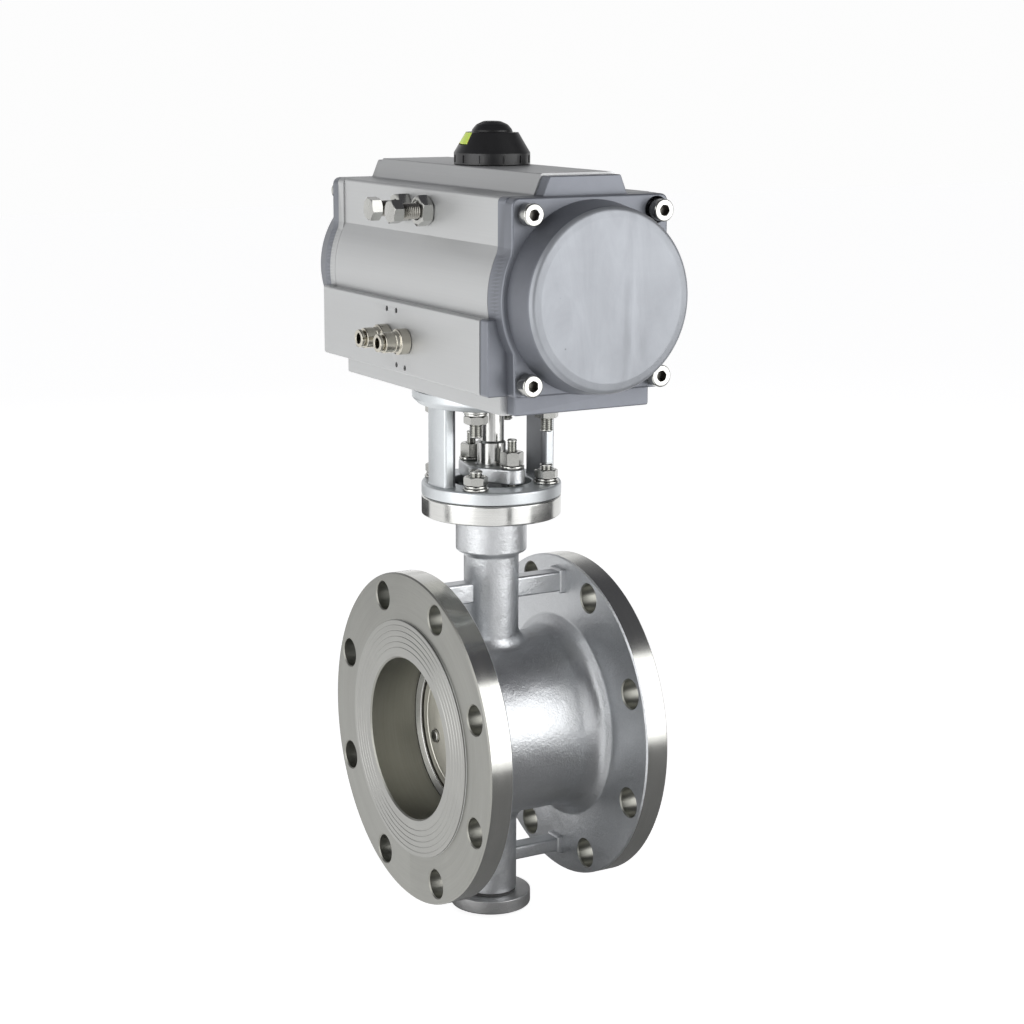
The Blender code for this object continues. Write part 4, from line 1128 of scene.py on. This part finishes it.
def indicator():
    base = BODY_TOP + GAP
    cap = lathe("indicator_shell", [
        (0, base), (INDICATOR_R - 0.0004, base), (INDICATOR_R, base + 0.0004), (INDICATOR_R, BAND_Z, 0.0006),
        (SHOULDER_R, SHOULDER_Z, 0.0008), (0.0124, SHOULDER_Z, 0.0005), (0.0120, 0.3728, 0.002),
        (0.0096, 0.3757, 0.005), (0.0050, INDICATOR_TOP - 0.0002, 0.006), (0, INDICATOR_TOP)], steps=144)
    notches = []
    for k in range(12):
        notch = block("notch", (INDICATOR_R - 0.0007, -0.0016, base + 0.0012),
                      (INDICATOR_R + 0.002, 0.0016, BAND_Z - 0.0012))
        notch.matrix_world = spin(math.radians(15 + 30 * k))
        notches.append(notch)
    slot = block("slot", (-0.0130, -0.0011, SHOULDER_Z + 0.0042), (0.0130, 0.0011, 0.385))
    slot.matrix_world = spin(math.radians(INSERT_TURN))
    socket = rod("socket", 0.0088, 0.340, 0.3625, steps=48)
    pockets = [sector("pocket", 0.0127, 0.040, POCKET_HALF, INSERT_TURN + turn, INSERT_LOW, 0.3850)
               for turn in (0, 180)]
    cut(cap, socket, merged("pockets", *pockets), merged("notches", *notches), slot)
    edge_round(cap, 0.00025, 2, 40)
    piece(cap, ROTOR, "black_plastic", BLACK, "indicator_cap")
    slope = (INDICATOR_R - SHOULDER_R) / (SHOULDER_Z - BAND_Z)
    low = INSERT_LOW + GAP
    high = SHOULDER_Z - 0.0002
    for k, turn in enumerate((0, 180)):
        shell = lathe(f"indicator_insert_shell_{k + 1}", [
            (SHOULDER_R, high, 0.0005), (INDICATOR_R - slope * (low - BAND_Z), low, 0.0005), (0.0130, low),
            (0.0130, high)], closed=True, steps=144, arc_steps=4)
        keep = sector("keep", 0.005, 0.040, INSERT_HALF, INSERT_TURN + turn, 0.350, 0.390)
        combine(shell, [keep], "INTERSECT")
        piece(shell, ROTOR, "yellow_plastic", YELLOW, f"indicator_insert_{k + 1}")


INNER_FINISHES = {
    "front_piston": ALLOY, "rear_piston": ALLOY, "pinion": BOLT_DARK, "stop_cam": BOLT_DARK,
    "pinion_bush_top": BLACK, "pinion_bush_bottom": BLACK, "upper_bush": BRONZE, "lower_bush": BRONZE,
    "upper_disc_pin": BOLT_DARK, "lower_disc_pin": BOLT_DARK,
    "packing": GRAPHITE, "bottom_gasket": GRAPHITE,
    "disc_seal_ring": SEAL, "disc": CAST_STEEL,
}


def inner_pieces():
    for name, finish in INNER_FINISHES.items():
        mesh = frame["nodes"][name].data
        mesh.materials.clear()
        mesh.materials.append(finish)


valve_body()
seat_and_disc()
bottom_cover()
gland()
stem()
yoke()
yoke_bolts()
actuator_body()
end_cap("front_cap", -1)
end_cap("rear_cap", 1)
cap_screws()
travel_stops()
port_fittings()
indicator()
inner_pieces()


# ---- stage, lights and camera


def sheet(name, corners, inputs):
    """One flat face through four corners, with these inputs of its surface."""
    mesh = bpy.data.meshes.new(name)
    mesh.from_pydata(corners, [], [(0, 1, 2, 3)])
    mesh.materials.append(Nodes(f"{name}_paper").surface(inputs))
    return linked(name, mesh)


def floor():
    """White paper that also glows, so that it meets the surround without a line."""
    size = 6.0
    z = CAD_BOX[0].z - 0.003
    sheet("floor", [(x, y, z) for x, y in rectangle(-size, size, -size, size)], {
        "Base Color": srgb(190, 190, 190), "Roughness": 0.9, "Specular IOR Level": 0.1,
        "Emission Color": (1, 1, 1, 1), "Emission Strength": FLOOR_GLOW})


def surround():
    """A sky that is white at the horizon and dark overhead."""
    world = bpy.data.worlds.new("studio")
    bpy.context.scene.world = world
    world.use_nodes = True
    tree = world.node_tree
    place = tree.nodes.new("ShaderNodeTexCoord")
    split = tree.nodes.new("ShaderNodeSeparateXYZ")
    tree.links.new(place.outputs["Generated"], split.inputs[0])
    ramp = tree.nodes.new("ShaderNodeValToRGB")
    tree.links.new(split.outputs["Z"], ramp.inputs["Fac"])
    stops = ramp.color_ramp.elements
    stops[0].position = 0.0
    stops[0].color = (0.98, 0.98, 0.98, 1)
    stops[1].position = 0.75
    stops[1].color = (0.10, 0.10, 0.11, 1)
    stops.new(0.05).color = (0.98, 0.98, 0.98, 1)
    stops.new(0.30).color = (0.40, 0.40, 0.41, 1)
    tree.links.new(ramp.outputs["Color"], tree.nodes["Background"].inputs["Color"])
    tree.nodes["Background"].inputs["Strength"].default_value = 1.0


def softbox(name, direction, distance, size, power, height):
    """An area light that faces the valve's middle from this compass direction."""
    light = bpy.data.lights.new(name, "AREA")
    light.shape = "RECTANGLE"
    light.size, light.size_y = size
    light.energy = power
    obj = linked(name, light)
    aim = Vector((0, 0, 0.13))
    spot = Vector((direction[0] * distance, direction[1] * distance, height))
    obj.location = spot
    obj.rotation_euler = (aim - spot).to_track_quat("-Z", "Y").to_euler()


def dark_sheet(name, corners, level):
    """A matt sheet that shows only in reflections."""
    grey = (level, level, level, 1)
    board = sheet(name, corners, {"Base Color": grey, "Roughness": 1.0, "Specular IOR Level": 0.0})
    board.visible_camera = False
    board.visible_shadow = False
    board.visible_diffuse = False


def card(name, azimuth, width, level):
    """An upright board beyond the lights, across this azimuth in degrees."""
    turn = math.radians(azimuth)
    distance, low, high = 1.9, -0.1, 2.2
    side = Vector((-math.sin(turn), math.cos(turn), 0)) * width / 2
    centre = Vector((*polar(distance, turn), 0))
    corners = [centre - side, centre + side, centre + side, centre - side]
    dark_sheet(name, [(p.x, p.y, z) for p, z in zip(corners, (low, low, high, high))], level)


def floor_card(x_low, x_high, y_low, y_high, level):
    """Part of the floor near the valve: it shades the lower part of the rims and of the barrel."""
    z = CAD_BOX[0].z - 0.002
    dark_sheet("floor_card", [(x, y, z) for x, y in rectangle(x_low, x_high, y_low, y_high)], level)


def floor_sector(name, start, end, level):
    """A wedge of floor further out: the turned top flange shows it as an upright band."""
    near, far = 0.95, 1.7
    z = CAD_BOX[0].z - 0.0025
    places = zip((near, far, far, near), map(math.radians, (start, start, end, end)))
    dark_sheet(name, [(*polar(r, a), z) for r, a in places], level)


def camera():
    lens = bpy.data.cameras.new("camera")
    lens.lens = LENS_MM
    lens.sensor_width = SENSOR_MM
    obj = linked("camera", lens)
    bpy.context.scene.camera = obj
    back = Vector((math.cos(CAMERA_ELEVATION) * math.sin(CAMERA_AZIMUTH),
                   -math.cos(CAMERA_ELEVATION) * math.cos(CAMERA_AZIMUTH), math.sin(CAMERA_ELEVATION)))
    right = Vector((0, 0, 1)).cross(back).normalized()
    up = back.cross(right)
    turned_right = right * math.cos(CAMERA_ROLL) + up * math.sin(CAMERA_ROLL)
    turned_up = up * math.cos(CAMERA_ROLL) - right * math.sin(CAMERA_ROLL)
    spot = LOOK_AT + back * CAMERA_DISTANCE
    columns = Matrix((turned_right, turned_up, back)).transposed()
    obj.matrix_world = Matrix.Translation(spot) @ columns.to_4x4()


floor()
surround()
softbox("right_softbox", (0.50, -0.866), 1.5, (1.3, 1.5), 13, 0.45)
softbox("left_softbox", (-0.985, -0.174), 1.4, (1.3, 1.3), 10, 0.45)
softbox("back_light", (0.2, 0.98), 1.8, (1.6, 0.8), 2, 0.9)
card("camera_side", -119, 0.9, 0.02)
card("far_right", -10, 1.1, 0.05)
floor_card(-0.05, 0.9, -0.70, 0.20, 0.36)
floor_sector("band_right", -53, 1, 0.12)
floor_sector("band_behind", 60, 119, 0.15)
floor_sector("band_front", -94, -86, 0.2)
floor_sector("band_left", 160, 171, 0.2)
camera()

scene = bpy.context.scene
scene.view_settings.view_transform = "Standard"
scene.view_settings.look = "None"
